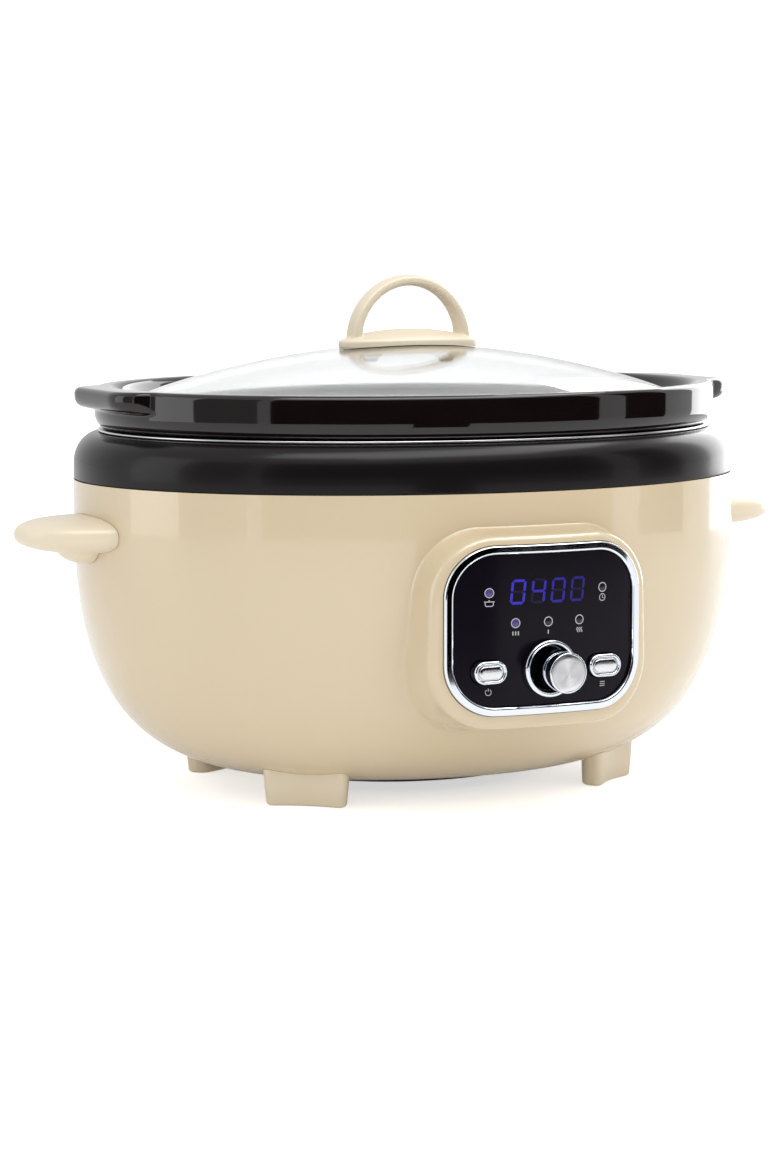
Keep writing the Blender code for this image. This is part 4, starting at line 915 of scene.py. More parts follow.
WING_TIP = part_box("right_handle")[1].x
WING_Z = 0.131
WING_ROOT_HALF_WIDTH = 0.0380
WING_TIP_HALF_WIDTH = 0.0210
WING_ROOT_HALF_THICK = 0.0098
WING_TIP_HALF_THICK = 0.0074
WING_BURIED = 0.020
BRACKET_RADIUS = 0.015
BRACKET_DROP = 0.0050


def ball(count_round, count_down):
    """A unit ball with its poles on X, as points and faces."""
    points, faces = [(1.0, 0.0, 0.0)], []
    for down in range(1, count_down):
        lean = math.pi * down / count_down
        for step in range(count_round):
            turn = math.tau * step / count_round
            points.append((math.cos(lean), math.sin(lean) * math.cos(turn), math.sin(lean) * math.sin(turn)))
    points.append((-1.0, 0.0, 0.0))
    last = len(points) - 1
    for step in range(count_round):
        after = (step + 1) % count_round
        faces.append((0, 1 + step, 1 + after))
        bottom = 1 + (count_down - 2) * count_round
        faces.append((last, bottom + after, bottom + step))
    for down in range(count_down - 2):
        first = [1 + down * count_round + step for step in range(count_round)]
        faces += ring_faces(first, [number + count_round for number in first])
    return np.array(points), faces


def wing(side):
    points, faces = ball(64, 64)
    x, y, z = points.T
    start = HALF_LENGTH - WING_BURIED
    around = np.maximum(np.hypot(y, z), 0.000001)
    blunt = np.clip(1 - np.abs(x) ** 3, 0, 1) ** (1 / 2.4)
    share = (x + 1) / 2
    half_width = WING_ROOT_HALF_WIDTH + share * (WING_TIP_HALF_WIDTH - WING_ROOT_HALF_WIDTH)
    half_thick = WING_ROOT_HALF_THICK + share * (WING_TIP_HALF_THICK - WING_ROOT_HALF_THICK)
    made = np.stack([
        side * ((start + WING_TIP) / 2 + (WING_TIP - start) / 2 * x),
        half_width * blunt * np.sign(y) * np.abs(y / around) ** 0.75,
        WING_Z + half_thick * blunt * np.sign(z) * np.abs(z / around) ** 0.75,
    ], -1)
    return made, faces


def bracket(side):
    points, faces = ball(48, 32)
    crown, foot = WING_ROOT_HALF_THICK / 3, -WING_ROOT_HALF_THICK - BRACKET_DROP
    made = points * (BRACKET_RADIUS, BRACKET_RADIUS, (crown - foot) / 2)
    return made + (side * (HALF_LENGTH + 0.0003), 0, WING_Z + (crown + foot) / 2), faces


def body_block():
    """The shell's solid form grown by the joint, for cutting what stands against it."""
    heights = side_rows(0.006)
    outline = [(0.0003, SEAM_Z + 0.01), (float(HALF_LENGTH) + 0.0003, SEAM_Z + 0.01)]
    outline += [(float(side_half(z)) + 0.0003, float(z)) for z in heights]
    outline[-1] = (outline[-1][0], FLOOR_Z - 0.0003)
    outline.append((0.0003, FLOOR_Z - 0.0003))
    return oval_piece("body block", outline, [], steps=256)


for hand, side in (("left", -1), ("right", 1)):
    handle = melted(f"{hand}_wing", [wing(side), bracket(side)], [handle_cream], 0.0007, 5, body_block())
    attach(handle, "housing")
    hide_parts(f"{hand}_handle")


# The feet: four cream blocks on the diagonals, each a rounded rectangle that narrows a little
# towards the floor. A screw from inside the shell holds each one, and a fine joint shows above it.

foot_low, foot_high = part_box("front_right_foot")
FOOT_MIDDLE = ((foot_low.x + foot_high.x) / 2, (foot_low.y + foot_high.y) / 2 - MIDDLE_Y)
FOOT_TURN = math.radians(37)
FOOT_LENGTH = 0.0425
FOOT_WIDTH = 0.0125
FOOT_CORNER = 0.0050
FOOT_TAPER = 0.93
FOOT_SOLE_ROUND = 0.0012
FOOT_BOW = 9.0


def rounded_loop(half_width, half_height, corner, inset=0.0, arc=12, straight=10):
    """A rounded rectangle's outline, moved in by `inset`; every inset gives the same count."""
    corner = max(corner - inset, 0.00001)
    across, up = half_width - inset - corner, half_height - inset - corner
    loop = []
    for quarter, (side_x, side_z) in enumerate(((1, 1), (-1, 1), (-1, -1), (1, -1))):
        turns = math.pi / 2 * (quarter + np.linspace(0, 1, arc + 1))
        loop += [(side_x * across + corner * math.cos(t), side_z * up + corner * math.sin(t)) for t in turns]
        ahead = ((-1, 1), (-1, -1), (1, -1), (1, 1))[quarter]
        end = math.pi / 2 * (quarter + 1)
        goal = (ahead[0] * across + corner * math.cos(end), ahead[1] * up + corner * math.sin(end))
        start = loop[-1]
        for share in np.linspace(0, 1, straight + 1)[1:-1]:
            loop.append(tuple(start[axis] + share * (goal[axis] - start[axis]) for axis in (0, 1)))
    return np.array(loop)


def stacked(loops, closed_ends=True):
    """Faces that join a stack of equal loops, with its first and last loop closed."""
    count = len(loops[0])
    numbers = [list(range(row * count, (row + 1) * count)) for row in range(len(loops))]
    faces = []
    for first, second in zip(numbers, numbers[1:]):
        faces += ring_faces(first, second)
    if closed_ends:
        faces += [tuple(numbers[0][::-1]), tuple(numbers[-1])]
    return np.concatenate(loops), faces


def foot_block():
    """The front right foot, up through the shell's floor, before it is cut to the shell."""
    loops = []
    for z, taper, inset in (
        (0.0, FOOT_TAPER, FOOT_SOLE_ROUND), (0.0004, FOOT_TAPER, 0.0005), (FOOT_SOLE_ROUND, FOOT_TAPER, 0.0),
        (0.010, 0.97, 0.0), (0.020, 1.0, 0.0), (0.034, 1.02, 0.0),
    ):
        flat = rounded_loop(FOOT_LENGTH / 2 * taper, FOOT_WIDTH / 2 * taper, FOOT_CORNER, inset, 8, 8)
        along, across = flat.T
        across = across - FOOT_BOW * along ** 2
        x = FOOT_MIDDLE[0] + along * math.cos(FOOT_TURN) - across * math.sin(FOOT_TURN)
        y = FOOT_MIDDLE[1] + along * math.sin(FOOT_TURN) + across * math.cos(FOOT_TURN)
        loops.append(np.stack([x, y, np.full_like(x, z)], -1))
    return stacked(loops)


def cut_away(piece, cutter):
    """Subtracts a cutter and marks the hard edges it leaves."""
    subtract(piece, cutter)
    piece.data.set_sharp_from_angle(angle=math.radians(40))


foot_points, foot_faces = foot_block()
for end, side_y in (("front", 1), ("rear", -1)):
    for hand, side_x in (("left", -1), ("right", 1)):
        block = add_piece(
            f"{end}_{hand}_block", foot_points * (side_x, side_y, 1), foot_faces, [handle_cream], 40
        )
        cut_away(block, body_block())
        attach(block, "housing")
        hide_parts(f"{end}_{hand}_foot")


# The base plate: a black textured dish that closes the opening in the shell's floor, held by four
# pan-head screws. It stands lower than the shell and higher than the feet's soles.

black_texture = moulded(
    "black texture", (0.006, 0.006, 0.007), (0.010, 0.010, 0.011), (0.42, 0.55), 60.0, 2600.0, 0.00008
)


def plate_outline():
    low, high = plate_low.z, plate_high.z
    half = PLATE_HALF
    outline = [(0.0003, low), (half - 0.006, low)]
    outline += arc_points(half - 0.0020, low + 0.0020, 0.0020, 0.0020, -70, 0, 6)
    outline += [(half, high - 0.0006), (half - 0.0006, high), (half - 0.0022, high)]
    outline += [(half - 0.0026, low + 0.0042), (half - 0.0050, low + 0.0025), (0.0003, low + 0.0025)]
    return outline


plate = oval_piece("plate", plate_outline(), [black_texture], steps=160)
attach(plate, "housing")
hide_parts("base_plate")


# Screws: zinc-plated pan heads with a cross recess. Four hold the base plate, four the feet, two
# each side handle and two the lid's handle; each goes where its hole is.

zinc = drawn_metal("zinc plate", (0.62, 0.61, 0.58), (0.24, 0.40), (1.0, 1.0, 1.0), 0.00001)


def turned(outline, steps=32):
    """A turned shape along +Z from (radius, height) points that start and end on the axis."""
    angle = np.arange(steps) * math.tau / steps
    loops = []
    for radius, height in outline:
        radius = max(radius, 0.00001)
        loops.append(np.stack([radius * np.cos(angle), radius * np.sin(angle), np.full(steps, height)], -1))
    return stacked(loops)


def screw_form(name, radius, head, head_thick, length):
    """One screw: its shank runs along +Z from under its head, which is below zero."""
    outline = [(0, length), (radius * 0.7, length), (radius, length - radius * 0.5), (radius, 0), (head, 0)]
    outline += [(head, -head_thick * 0.35), (head * 0.86, -head_thick * 0.78), (head * 0.6, -head_thick)]
    outline += [(0, -head_thick)]
    points, faces = turned(outline)
    form = add_piece(name, points - (0, MIDDLE_Y, 0), faces, [], 35)
    for turn in (0, math.pi / 2):
        slot_points, slot_faces = stacked([
            np.array([(-1, -1, z), (1, -1, z), (1, 1, z), (-1, 1, z)]) * (head * 0.62, head * 0.11, 1)
            for z in (-head_thick * 0.45, -head_thick * 1.5)
        ])
        cosine, sine = math.cos(turn), math.sin(turn)
        spin = np.array([[cosine, -sine, 0], [sine, cosine, 0], [0, 0, 1]])
        cut_away(form, add_piece("recess", slot_points @ spin - (0, MIDDLE_Y, 0), slot_faces, []))
    return form


def spreading_tree():
    """Puts a copy of the `Form` on each point, turned by the point's `turn`."""
    tree = bpy.data.node_groups.new("copies on points", "GeometryNodeTree")
    for name, kind in (("Points", "Geometry"), ("Form", "Object"), ("Finish", "Material")):
        tree.interface.new_socket(name=name, in_out="INPUT", socket_type="NodeSocket" + kind)
    tree.interface.new_socket(name="Copies", in_out="OUTPUT", socket_type="NodeSocketGeometry")
    given, made = tree.nodes.new("NodeGroupInput"), tree.nodes.new("NodeGroupOutput")
    form = tree.nodes.new("GeometryNodeObjectInfo")
    spread = tree.nodes.new("GeometryNodeInstanceOnPoints")
    realize = tree.nodes.new("GeometryNodeRealizeInstances")
    coat = tree.nodes.new("GeometryNodeSetMaterial")
    turn = tree.nodes.new("FunctionNodeEulerToRotation")
    read = tree.nodes.new("GeometryNodeInputNamedAttribute")
    read.data_type = "FLOAT_VECTOR"
    read.inputs["Name"].default_value = "turn"
    tree.links.new(read.outputs["Attribute"], turn.inputs["Euler"])
    for start, output, goal, socket in (
        (given, "Form", form, "Object"), (given, "Points", spread, "Points"),
        (form, "Geometry", spread, "Instance"), (turn, "Rotation", spread, "Rotation"),
        (spread, "Instances", realize, "Geometry"), (realize, "Geometry", coat, "Geometry"),
        (given, "Finish", coat, "Material"), (coat, "Geometry", made, "Copies"),
    ):
        tree.links.new(start.outputs[output], goal.inputs[socket])
    return tree


COPIES = spreading_tree()


def copies(name, form, places, finish):
    """One piece made of copies of a form. A place is a position and an Euler turn."""
    mesh = bpy.data.meshes.new(name)
    mesh.from_pydata([tuple(position) for position, _ in places], [], [])
    attribute = mesh.attributes.new("turn", "FLOAT_VECTOR", "POINT")
    attribute.data.foreach_set("vector", [part for _, turn in places for part in turn])
    piece = bpy.data.objects.new(name, mesh)
    bpy.context.scene.collection.objects.link(piece)
    spread = piece.modifiers.new("copies", "NODES")
    spread.node_group = COPIES
    sockets = {item.name: item.identifier for item in COPIES.interface.items_tree if item.in_out == "INPUT"}
    spread[sockets["Form"]] = form
    spread[sockets["Finish"]] = finish
    as_mesh(piece)
    piece.data.materials.clear()
    piece.data.materials.append(finish)
    piece.data.set_sharp_from_angle(angle=math.radians(35))
    bpy.data.objects.remove(form, do_unlink=True)
    return piece


def screw_places(nodes, direction, head_thick):
    """Where each screw node's head meets what it holds, and the turn that sends +Z its way."""
    places = []
    turn = Vector(direction).to_track_quat("Z", "Y").to_euler()
    for node in nodes:
        low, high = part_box(node)
        middle = (low + high) / 2
        for axis in range(3):
            if direction[axis]:
                middle[axis] = (low if direction[axis] > 0 else high)[axis] + direction[axis] * head_thick
        places.append((middle, turn))
    return places


def screw_set(name, nodes, direction, radius, head, head_thick, length, body):
    form = screw_form(name + "_form", radius, head, head_thick, length)
    piece = copies(name, form, screw_places(nodes, direction, head_thick), zinc)
    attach(piece, body)
    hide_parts(*nodes)


def depth_of(node, axis):
    low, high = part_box(node)
    return high[axis] - low[axis]


screw_set(
    "plate_screws", [f"base_screw_{number}" for number in (1, 2, 3, 4)], (0, 0, 1),
    0.0016, 0.0030, 0.0018, depth_of("base_screw_1", 2) - 0.0018, "housing",
)
screw_set(
    "foot_screws", [f"{end}_{hand}_foot_screw" for end in ("front", "rear") for hand in ("left", "right")],
    (0, 0, -1), 0.0019, 0.0036, 0.0022, depth_of("front_left_foot_screw", 2) - 0.0022, "housing",
)
for hand, side in (("left", -1), ("right", 1)):
    screw_set(
        f"{hand}_wing_screws", [f"{hand}_handle_{end}_screw" for end in ("front", "rear")], (side, 0, 0),
        0.0019, 0.0038, 0.0022, depth_of("left_handle_front_screw", 0) - 0.0022, "housing",
    )
screw_set(
    "lid_screws", ["left_lid_screw", "right_lid_screw"], (0, 0, 1),
    0.0019, 0.0040, 0.0022, depth_of("left_lid_screw", 2) - 0.0022, "lid",
)


# Two soft silicone washers seal the lid's screws against the underside of the glass.

silicone = moulded("silicone", (0.55, 0.55, 0.53), (0.62, 0.62, 0.60), (0.45, 0.60), 80.0, 2500.0, 0.00002)
washer_low, washer_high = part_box("left_lid_washer")
washer_radius = (washer_high.x - washer_low.x) / 2
washer_thick = washer_high.z - washer_low.z
washer_rows = [(0.0022, 0.0), (washer_radius - 0.0004, 0.0), (washer_radius, 0.0004)]
washer_rows += [(washer_radius, washer_thick - 0.0004), (washer_radius - 0.0004, washer_thick)]
washer_rows += [(0.0022, washer_thick), (0.0022, 0.0)]
washer_round = np.arange(40) * math.tau / 40
washer_loops = [
    np.array([(radius * math.cos(t), radius * math.sin(t), z) for t in washer_round])
    for radius, z in washer_rows
]
washer_points, washer_faces = stacked(washer_loops, closed_ends=False)
washer_form = add_piece("washer form", washer_points - (0, MIDDLE_Y, 0), washer_faces, [], 40)
washer_places = []
for hand in ("left", "right"):
    low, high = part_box(f"{hand}_lid_washer")
    washer_places.append((((low.x + high.x) / 2, (low.y + high.y) / 2, low.z), (0, 0, 0)))
washers = copies("washers", washer_form, washer_places, silicone)
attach(washers, "lid")
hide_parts("left_lid_washer", "right_lid_washer")


# The control panel's bezel: a plated frame 10 mm deep, pressed into the boss, with softly rounded
# edges and a face bowed to match the body.

BEZEL_FACE = 0.0042
BEZEL_DEPTH = 0.0100
FASCIA_RECESS = 0.0020


def plated(name, tone, polish):
    """Bright plate: nearly a mirror, with the faintest roll and haze from polishing."""
    material, tree, shader = new_material(name)
    place = tree.nodes.new("ShaderNodeTexCoord").outputs["Object"]
    haze = noise(tree, place, 90.0, 3.0)
    vary_polish(tree, shader, haze, polish)
    shade = two_tones(tree, haze, (*[0.96 * part for part in tone], 1.0), (*tone, 1.0))
    tree.links.new(shade.outputs["Result"], shader.inputs["Base Color"])
    raise_skin(tree, shader, haze, 0.12, 0.0001)
    shader.inputs["Metallic"].default_value = 1.0
    return material


def on_panel(flat, setback):
    """Puts flat (x, z) points on the bowed panel, a distance behind the bezel's face."""
    x, z = np.asarray(flat, float).T
    return np.stack([x, -PANEL_FRONT + setback + bow_sag(x), z + PANEL_Z], -1)


chrome = plated("bright plate", (0.84, 0.88, 0.94), (0.03, 0.07))
bezel_rows = [(0.0, BEZEL_DEPTH), (0.0, 0.0009), (0.0001, 0.0005), (0.0003, 0.0002), (0.0007, 0.0)]
bezel_rows += [(0.0009, 0.0), (0.0030, 0.0), (0.0032, 0.0), (0.0037, 0.0002), (0.0040, 0.0006)]
bezel_rows += [(BEZEL_FACE, 0.0011)]
bezel_rows += [(BEZEL_FACE, BEZEL_DEPTH), (0.0, BEZEL_DEPTH)]
bezel_points, bezel_faces = stacked(
    [
        on_panel(rounded_loop(PANEL_HALF_WIDTH, PANEL_HALF_HEIGHT, PANEL_CORNER, inset, 20, 24), depth)
        for inset, depth in bezel_rows
    ],
    closed_ends=False,
)
bezel = add_piece("bezel", bezel_points, bezel_faces, [chrome], 50)
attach(bezel, "housing")
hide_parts("panel_bezel")


# The fascia: a smoked gloss window pressed in behind the bezel, with holes for the knob's shaft,
# the two buttons and the five indicator lamps.

ring_low, ring_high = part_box("knob_ring")
power_low, power_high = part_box("power_button")
menu_low, menu_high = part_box("menu_button")
KNOB_Z = (ring_low.z + ring_high.z) / 2
BUTTON_Z = (power_low.z + power_high.z) / 2
BUTTON_X = (menu_low.x + menu_high.x) / 2
BUTTON_HALF = (menu_high.x - menu_low.x) / 2
BUTTON_HALF_HEIGHT = (menu_high.z - menu_low.z) / 2
BUTTON_CORNER = BUTTON_HALF_HEIGHT * 0.98
FASCIA_THICK = 0.0030
FASCIA_GAP = 0.0003
LAMPS = ("high_lamp", "low_lamp", "warm_lamp", "cooking_lamp", "delay_lamp")
LAMP_RADIUS = 0.0019
THROUGH = (-0.002, 0.012)
KNOB_HOLE = 0.0101


def fascia_sheet():
    """Front and back of the window as strips between its upper and lower edge."""
    frame_inset = BEZEL_FACE + FASCIA_GAP
    half_width, half_height = PANEL_HALF_WIDTH - frame_inset, PANEL_HALF_HEIGHT - frame_inset
    corner = PANEL_CORNER - frame_inset
    turns = np.linspace(0, math.pi / 2, 15)
    side = half_width - corner + corner * np.sin(turns)
    right = np.concatenate([np.linspace(0, half_width - corner, 14)[:-1], side])
    reach = half_height - corner + corner * np.concatenate([np.ones(13), np.cos(turns)])
    x = np.concatenate([-right[:0:-1], right])
    reach = np.concatenate([reach[:0:-1], reach])
    loops = []
    for share, setback in (
        [(-1, FASCIA_RECESS + FASCIA_THICK)] + [(s, FASCIA_RECESS) for s in np.linspace(-1, 1, 13)]
        + [(s, FASCIA_RECESS + FASCIA_THICK) for s in np.linspace(1, -1, 5)[:-1]]
    ):
        loops.append(on_panel(np.stack([x, share * reach], -1), setback))
    count, rows = len(x), len(loops)
    faces = []
    for row in range(rows):
        here, ahead = row * count, (row + 1) % rows * count
        for column in range(count - 1):
            faces.append((here + column, ahead + column, ahead + column + 1, here + column + 1))
    ends = [row * count for row in range(rows)], [row * count + count - 1 for row in range(rows)]
    faces += [tuple(ends[0]), tuple(ends[1][::-1])]
    return np.concatenate(loops), faces


def through_panel(loop, centre, front, back):
    """A prism through the panel's thickness, for cutting an opening."""
    loop = np.asarray(loop) + centre
    ends = [np.stack([loop[:, 0], np.full(len(loop), -PANEL_FRONT + depth), loop[:, 1] + PANEL_Z], -1)
            for depth in (front, back)]
    return stacked(ends)


def circle(radius, steps=40):
    turns = np.arange(steps) * math.tau / steps
    return np.stack([radius * np.cos(turns), radius * np.sin(turns)], -1)


def smoked_gloss():
    """Almost black with a violet cast, a hard coat, and the faint waviness of a moulded window."""
    material, tree, shader = new_material("smoked gloss")
    place = tree.nodes.new("ShaderNodeTexCoord").outputs["Object"]
    cloud = noise(tree, place, 18.0, 2.0)
    tone = two_tones(tree, cloud, (0.0040, 0.0030, 0.0060, 1.0), (0.0075, 0.0055, 0.0095, 1.0))
    tree.links.new(tone.outputs["Result"], shader.inputs["Base Color"])
    raise_skin(tree, shader, cloud, 0.2, 0.0002)
    shader.inputs["Roughness"].default_value = 0.16
    shader.inputs["Specular IOR Level"].default_value = 0.13
    return material


fascia_points, fascia_faces = fascia_sheet()
fascia = add_piece("fascia", fascia_points, fascia_faces, [smoked_gloss()], 40)
opening_shapes = [through_panel(circle(KNOB_HOLE), (0, KNOB_Z - PANEL_Z), *THROUGH)]
button_hole = rounded_loop(BUTTON_HALF + 0.0003, BUTTON_HALF_HEIGHT + 0.0003, BUTTON_CORNER, 0, 10, 4)
for side in (-1, 1):
    opening_shapes.append(through_panel(button_hole, (side * BUTTON_X, BUTTON_Z - PANEL_Z), *THROUGH))
lamp_places = {}
for lamp in LAMPS:
    low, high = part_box(lamp)
    lamp_places[lamp] = ((low.x + high.x) / 2, (low.z + high.z) / 2 - PANEL_Z)
    opening_shapes.append(through_panel(circle(LAMP_RADIUS + 0.0001, 24), lamp_places[lamp], *THROUGH))
cut_away(fascia, add_piece("openings", *joined(opening_shapes), []))
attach(fascia, "housing")
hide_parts("panel_fascia")


# The indicator lamps: a clear light pipe in each hole, two of them lit violet, each inside a fine
# printed ring.

lit = moulded(
    "lit light pipe", (0.055, 0.040, 0.160), (0.075, 0.055, 0.200), (0.10, 0.20), 900.0, 2000.0, 0.00001
)
lit_shader = lit.node_tree.nodes["Principled BSDF"]
lit_shader.inputs["Emission Color"].default_value = (0.16, 0.10, 0.62, 1.0)
lit_shader.inputs["Emission Strength"].default_value = 0.10
unlit = moulded(
    "unlit light pipe", (0.010, 0.008, 0.014), (0.018, 0.015, 0.024), (0.10, 0.20), 900.0, 2000.0, 0.00001
)
lens_rows = [(0, -0.0030), (LAMP_RADIUS - 0.0002, -0.0030), (LAMP_RADIUS - 0.0002, 0.0)]
lens_rows += [(LAMP_RADIUS * 0.7, 0.00012), (0, 0.0002)]
for label, names, finish in (
    ("lit_lamps", ("high_lamp", "cooking_lamp"), lit),
    ("unlit_lamps", ("low_lamp", "warm_lamp", "delay_lamp"), unlit),
):
    lens_points, lens_faces = turned(lens_rows, 28)
    lens = add_piece("lens form", lens_points - (0, MIDDLE_Y, 0), lens_faces, [], 50)
    places = []
    for lamp in names:
        spot = on_panel([lamp_places[lamp]], FASCIA_RECESS)[0] + (0, MIDDLE_Y, 0)
        places.append((spot, (math.radians(90), 0, 0)))
    lamps = copies(label, lens, places, finish)
    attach(lamps, "housing")
    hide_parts(*names)


# The printing on the fascia: pale rings round the lamps and small plain signs for what they and the
# buttons mean, screen printed in thin ink.

INK = 0.00003


def ribbon(path, width, closed=False):
    """A flat stroke of even width along (x, z) points, as (x, z) points and faces."""
    path = np.asarray(path, float)
    if closed:
        way = np.roll(path, -1, 0) - np.roll(path, 1, 0)
    else:
        way = np.gradient(path, axis=0)
    way /= np.linalg.norm(way, axis=1)[:, None]
    normal = np.stack([-way[:, 1], way[:, 0]], -1)
    points = np.concatenate([path + normal * width / 2, path - normal * width / 2])
    count = len(path)
    faces = []
    for index in range(count if closed else count - 1):
        after = (index + 1) % count
        faces.append((index, index + count, after + count, after))
    return points, faces


def arc(centre, radius, start, end, steps=20):
    turns = np.radians(np.linspace(start, end, steps))
    return np.stack([centre[0] + radius * np.cos(turns), centre[1] + radius * np.sin(turns)], -1)


def shifted(strokes, centre, size=1.0):
    return [(np.asarray(path) * size + centre, width * size, closed) for path, width, closed in strokes]


def level_bars(count):
    """A row of short upright bars, as many as the heat is strong."""
    places = [(bar - (count - 1) / 2) * 0.0012 for bar in range(count)]
    return [([(place, -0.0008), (place, 0.0008)], 0.0005, False) for place in places]


pot_left = [(-0.0017, 0.0004), (-0.0017, -0.0008), (-0.0012, -0.0012)]
pot_sign = [(pot_left + [(-x, z) for x, z in pot_left[::-1]], 0.00035, False)]
pot_sign += [([(-0.0022, 0.0006), (0.0022, 0.0006)], 0.00035, False)]
pot_sign += [([(0, 0.0006), (0, 0.0013)], 0.0005, False)]
clock_sign = [(circle(0.0014, 28), 0.00032, True)]
clock_sign += [([(0, 0.0009), (0, 0), (0.0006, -0.0004)], 0.0003, False)]
wave_sign = [
    ([(offset + 0.0003 * math.sin(step * 0.9), -0.0010 + 0.00025 * step) for step in range(9)], 0.0004, False)
    for offset in (-0.0010, 0.0, 0.0010)
]
power_sign = [(arc((0, 0), 0.0015, 120, 420, 30), 0.00035, False)]
power_sign += [([(0, 0.0004), (0, 0.0019)], 0.00035, False)]
menu_sign = [([(-0.0015, height), (0.0015, height)], 0.0004, False) for height in (-0.0010, 0.0, 0.0010)]
strokes = []
for lamp in LAMPS:
    strokes.append((circle(LAMP_RADIUS + 0.0002, 36) + lamp_places[lamp], 0.00045, True))
for lamp, sign in (
    ("high_lamp", level_bars(3)), ("low_lamp", level_bars(1)), ("warm_lamp", wave_sign),
    ("cooking_lamp", pot_sign), ("delay_lamp", clock_sign),
):
    strokes += shifted(sign, np.add(lamp_places[lamp], (0, -0.0048)), 1.15)
strokes += shifted(power_sign, (-BUTTON_X, BUTTON_Z - PANEL_Z - 0.0095), 0.95)
strokes += shifted(menu_sign, (BUTTON_X, BUTTON_Z - PANEL_Z - 0.0090), 0.95)


def printed(name, flats, materials, lift, levels=None):
    """Flat shapes laid on the fascia as a film with a back, `lift` proud of it."""
    points, faces, marks, count = [], [], [], 0
    for index, (flat, flat_faces) in enumerate(flats):
        size = len(flat)
        points += [on_panel(flat, FASCIA_RECESS - lift), on_panel(flat, FASCIA_RECESS - lift / 4)]
        faces += [tuple(number + count for number in face) for face in flat_faces]
        faces += [tuple(number + count + size for number in face[::-1]) for face in flat_faces]
        edges = {}
        for face in flat_faces:
            for first, second in zip(face, face[1:] + face[:1]):
                edges[(first, second)] = True
        for first, second in edges:
            if (second, first) not in edges:
                faces.append((second + count, first + count, first + count + size, second + count + size))
        marks += [levels[index] if levels else 1.0] * (2 * size)
        count += 2 * size
    mesh = bpy.data.meshes.new(name)
    mesh.from_pydata((np.concatenate(points) + (0, MIDDLE_Y, 0)).tolist(), [], faces)
    level = mesh.attributes.new("level", "FLOAT", "POINT")
    level.data.foreach_set("value", marks)
    for material in materials:
        mesh.materials.append(material)
    piece = bpy.data.objects.new(name, mesh)
    bpy.context.scene.collection.objects.link(piece)
    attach(piece, "housing")
    return piece


pale_ink = moulded("pale ink", (0.42, 0.42, 0.44), (0.52, 0.52, 0.54), (0.35, 0.5), 400.0, 3000.0, 0.00001)
print_piece = printed("printed_signs", [ribbon(*stroke) for stroke in strokes], [pale_ink], INK)


# The display: four seven-bar digits that lean a little, lit blue-violet, the first brightest. They
# lie on the window as a thin film. The bars that are off can just be made out.

DIGIT_HEIGHT = 0.0104
DIGIT_WIDTH = 0.0062
DIGIT_PITCH = 0.0104
DIGIT_LEAN = math.tan(math.radians(6))
BAR = 0.00125
DISPLAY_X = 0.0000
display_low, display_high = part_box("display_module")
DISPLAY_Z = (display_low.z + display_high.z) / 2 + 0.0004
BARS = {
    "a": (0, 1, 0), "b": (0.5, 0.5, 1), "c": (0.5, -0.5, 1), "d": (0, -1, 0),
    "e": (-0.5, -0.5, 1), "f": (-0.5, 0.5, 1), "g": (0, 0, 0),
}
SHOWN = ("abcdef", "bcfg", "abcdef", "abcdef")


def bar_shape(across, up, standing):
    """One pointed bar of a digit, leaning with it."""
    length = (DIGIT_HEIGHT / 2 if standing else DIGIT_WIDTH) - 0.0003
    half, tip = BAR / 2, length / 2
    flat = tip - half
    along = [(-flat, -half), (flat, -half), (tip, 0), (flat, half), (-flat, half), (-tip, 0)]
    if standing:
        along = [(z, x) for x, z in along[::-1]]
    shape = np.array(along) + (across * DIGIT_WIDTH, up * DIGIT_HEIGHT / 2)
    shape[:, 0] += shape[:, 1] * DIGIT_LEAN
    return shape


digit_flats, digit_levels = [], []
for place, lit_bars in enumerate(SHOWN):
    for letter, bar in BARS.items():
        shape = bar_shape(*bar) + (DISPLAY_X + (place - 1.5) * DIGIT_PITCH, DISPLAY_Z - PANEL_Z)
        digit_flats.append((shape, [(0, 1, 2, 3, 4, 5)]))
        digit_levels.append((1.0, 0.72, 0.52, 0.36)[place] if letter in lit_bars else 0.03)


def digit_glow():
    material, tree, shader = new_material("digit glow")
    level = tree.nodes.new("ShaderNodeAttribute")
    level.attribute_name = "level"
    place = tree.nodes.new("ShaderNodeTexCoord").outputs["Object"]
    grain = noise(tree, place, 1500.0, 1.0)
    tone = two_tones(tree, level.outputs["Fac"], (0.004, 0.003, 0.009, 1.0), (0.030, 0.022, 0.380, 1.0))
    tree.links.new(tone.outputs["Result"], shader.inputs["Emission Color"])
    tree.links.new(tone.outputs["Result"], shader.inputs["Base Color"])
    vary_polish(tree, shader, grain, (0.08, 0.12))
    shader.inputs["Specular IOR Level"].default_value = 0.22
    shader.inputs["Emission Strength"].default_value = 0.34
    return material


digits = printed("display_digits", digit_flats, [digit_glow()], INK, digit_levels)


# The knob: a plated cap on the encoder's shaft with a spun aluminium disc let into its face. It
# turns inside a dished, plated ring that is pressed into the fascia.

knob_low, knob_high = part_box("knob")
cap_low, cap_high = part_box("knob_cap")
KNOB_FACE = MIDDLE_Y - cap_low.y
KNOB_RADIUS = (knob_high.x - knob_low.x) / 2
RING_RADIUS = ring_high.x
RING_FRONT = MIDDLE_Y - ring_low.y
RING_BACK = MIDDLE_Y - ring_high.y
RING_HOLE = 0.0102


def facing_front(points, reach=0.0):
    """Turns a shape made along +Z to face the front, on the knob's axis."""
    x, y, z = np.asarray(points).T
    return np.stack([x, -(z + reach), y + KNOB_Z], -1)


def turned_ring(rows, steps):
    angle = np.arange(steps) * math.tau / steps
    loops = [np.stack([r * np.cos(angle), r * np.sin(angle), np.full(steps, h)], -1) for r, h in rows]
    return stacked(loops + loops[:1], closed_ends=False)


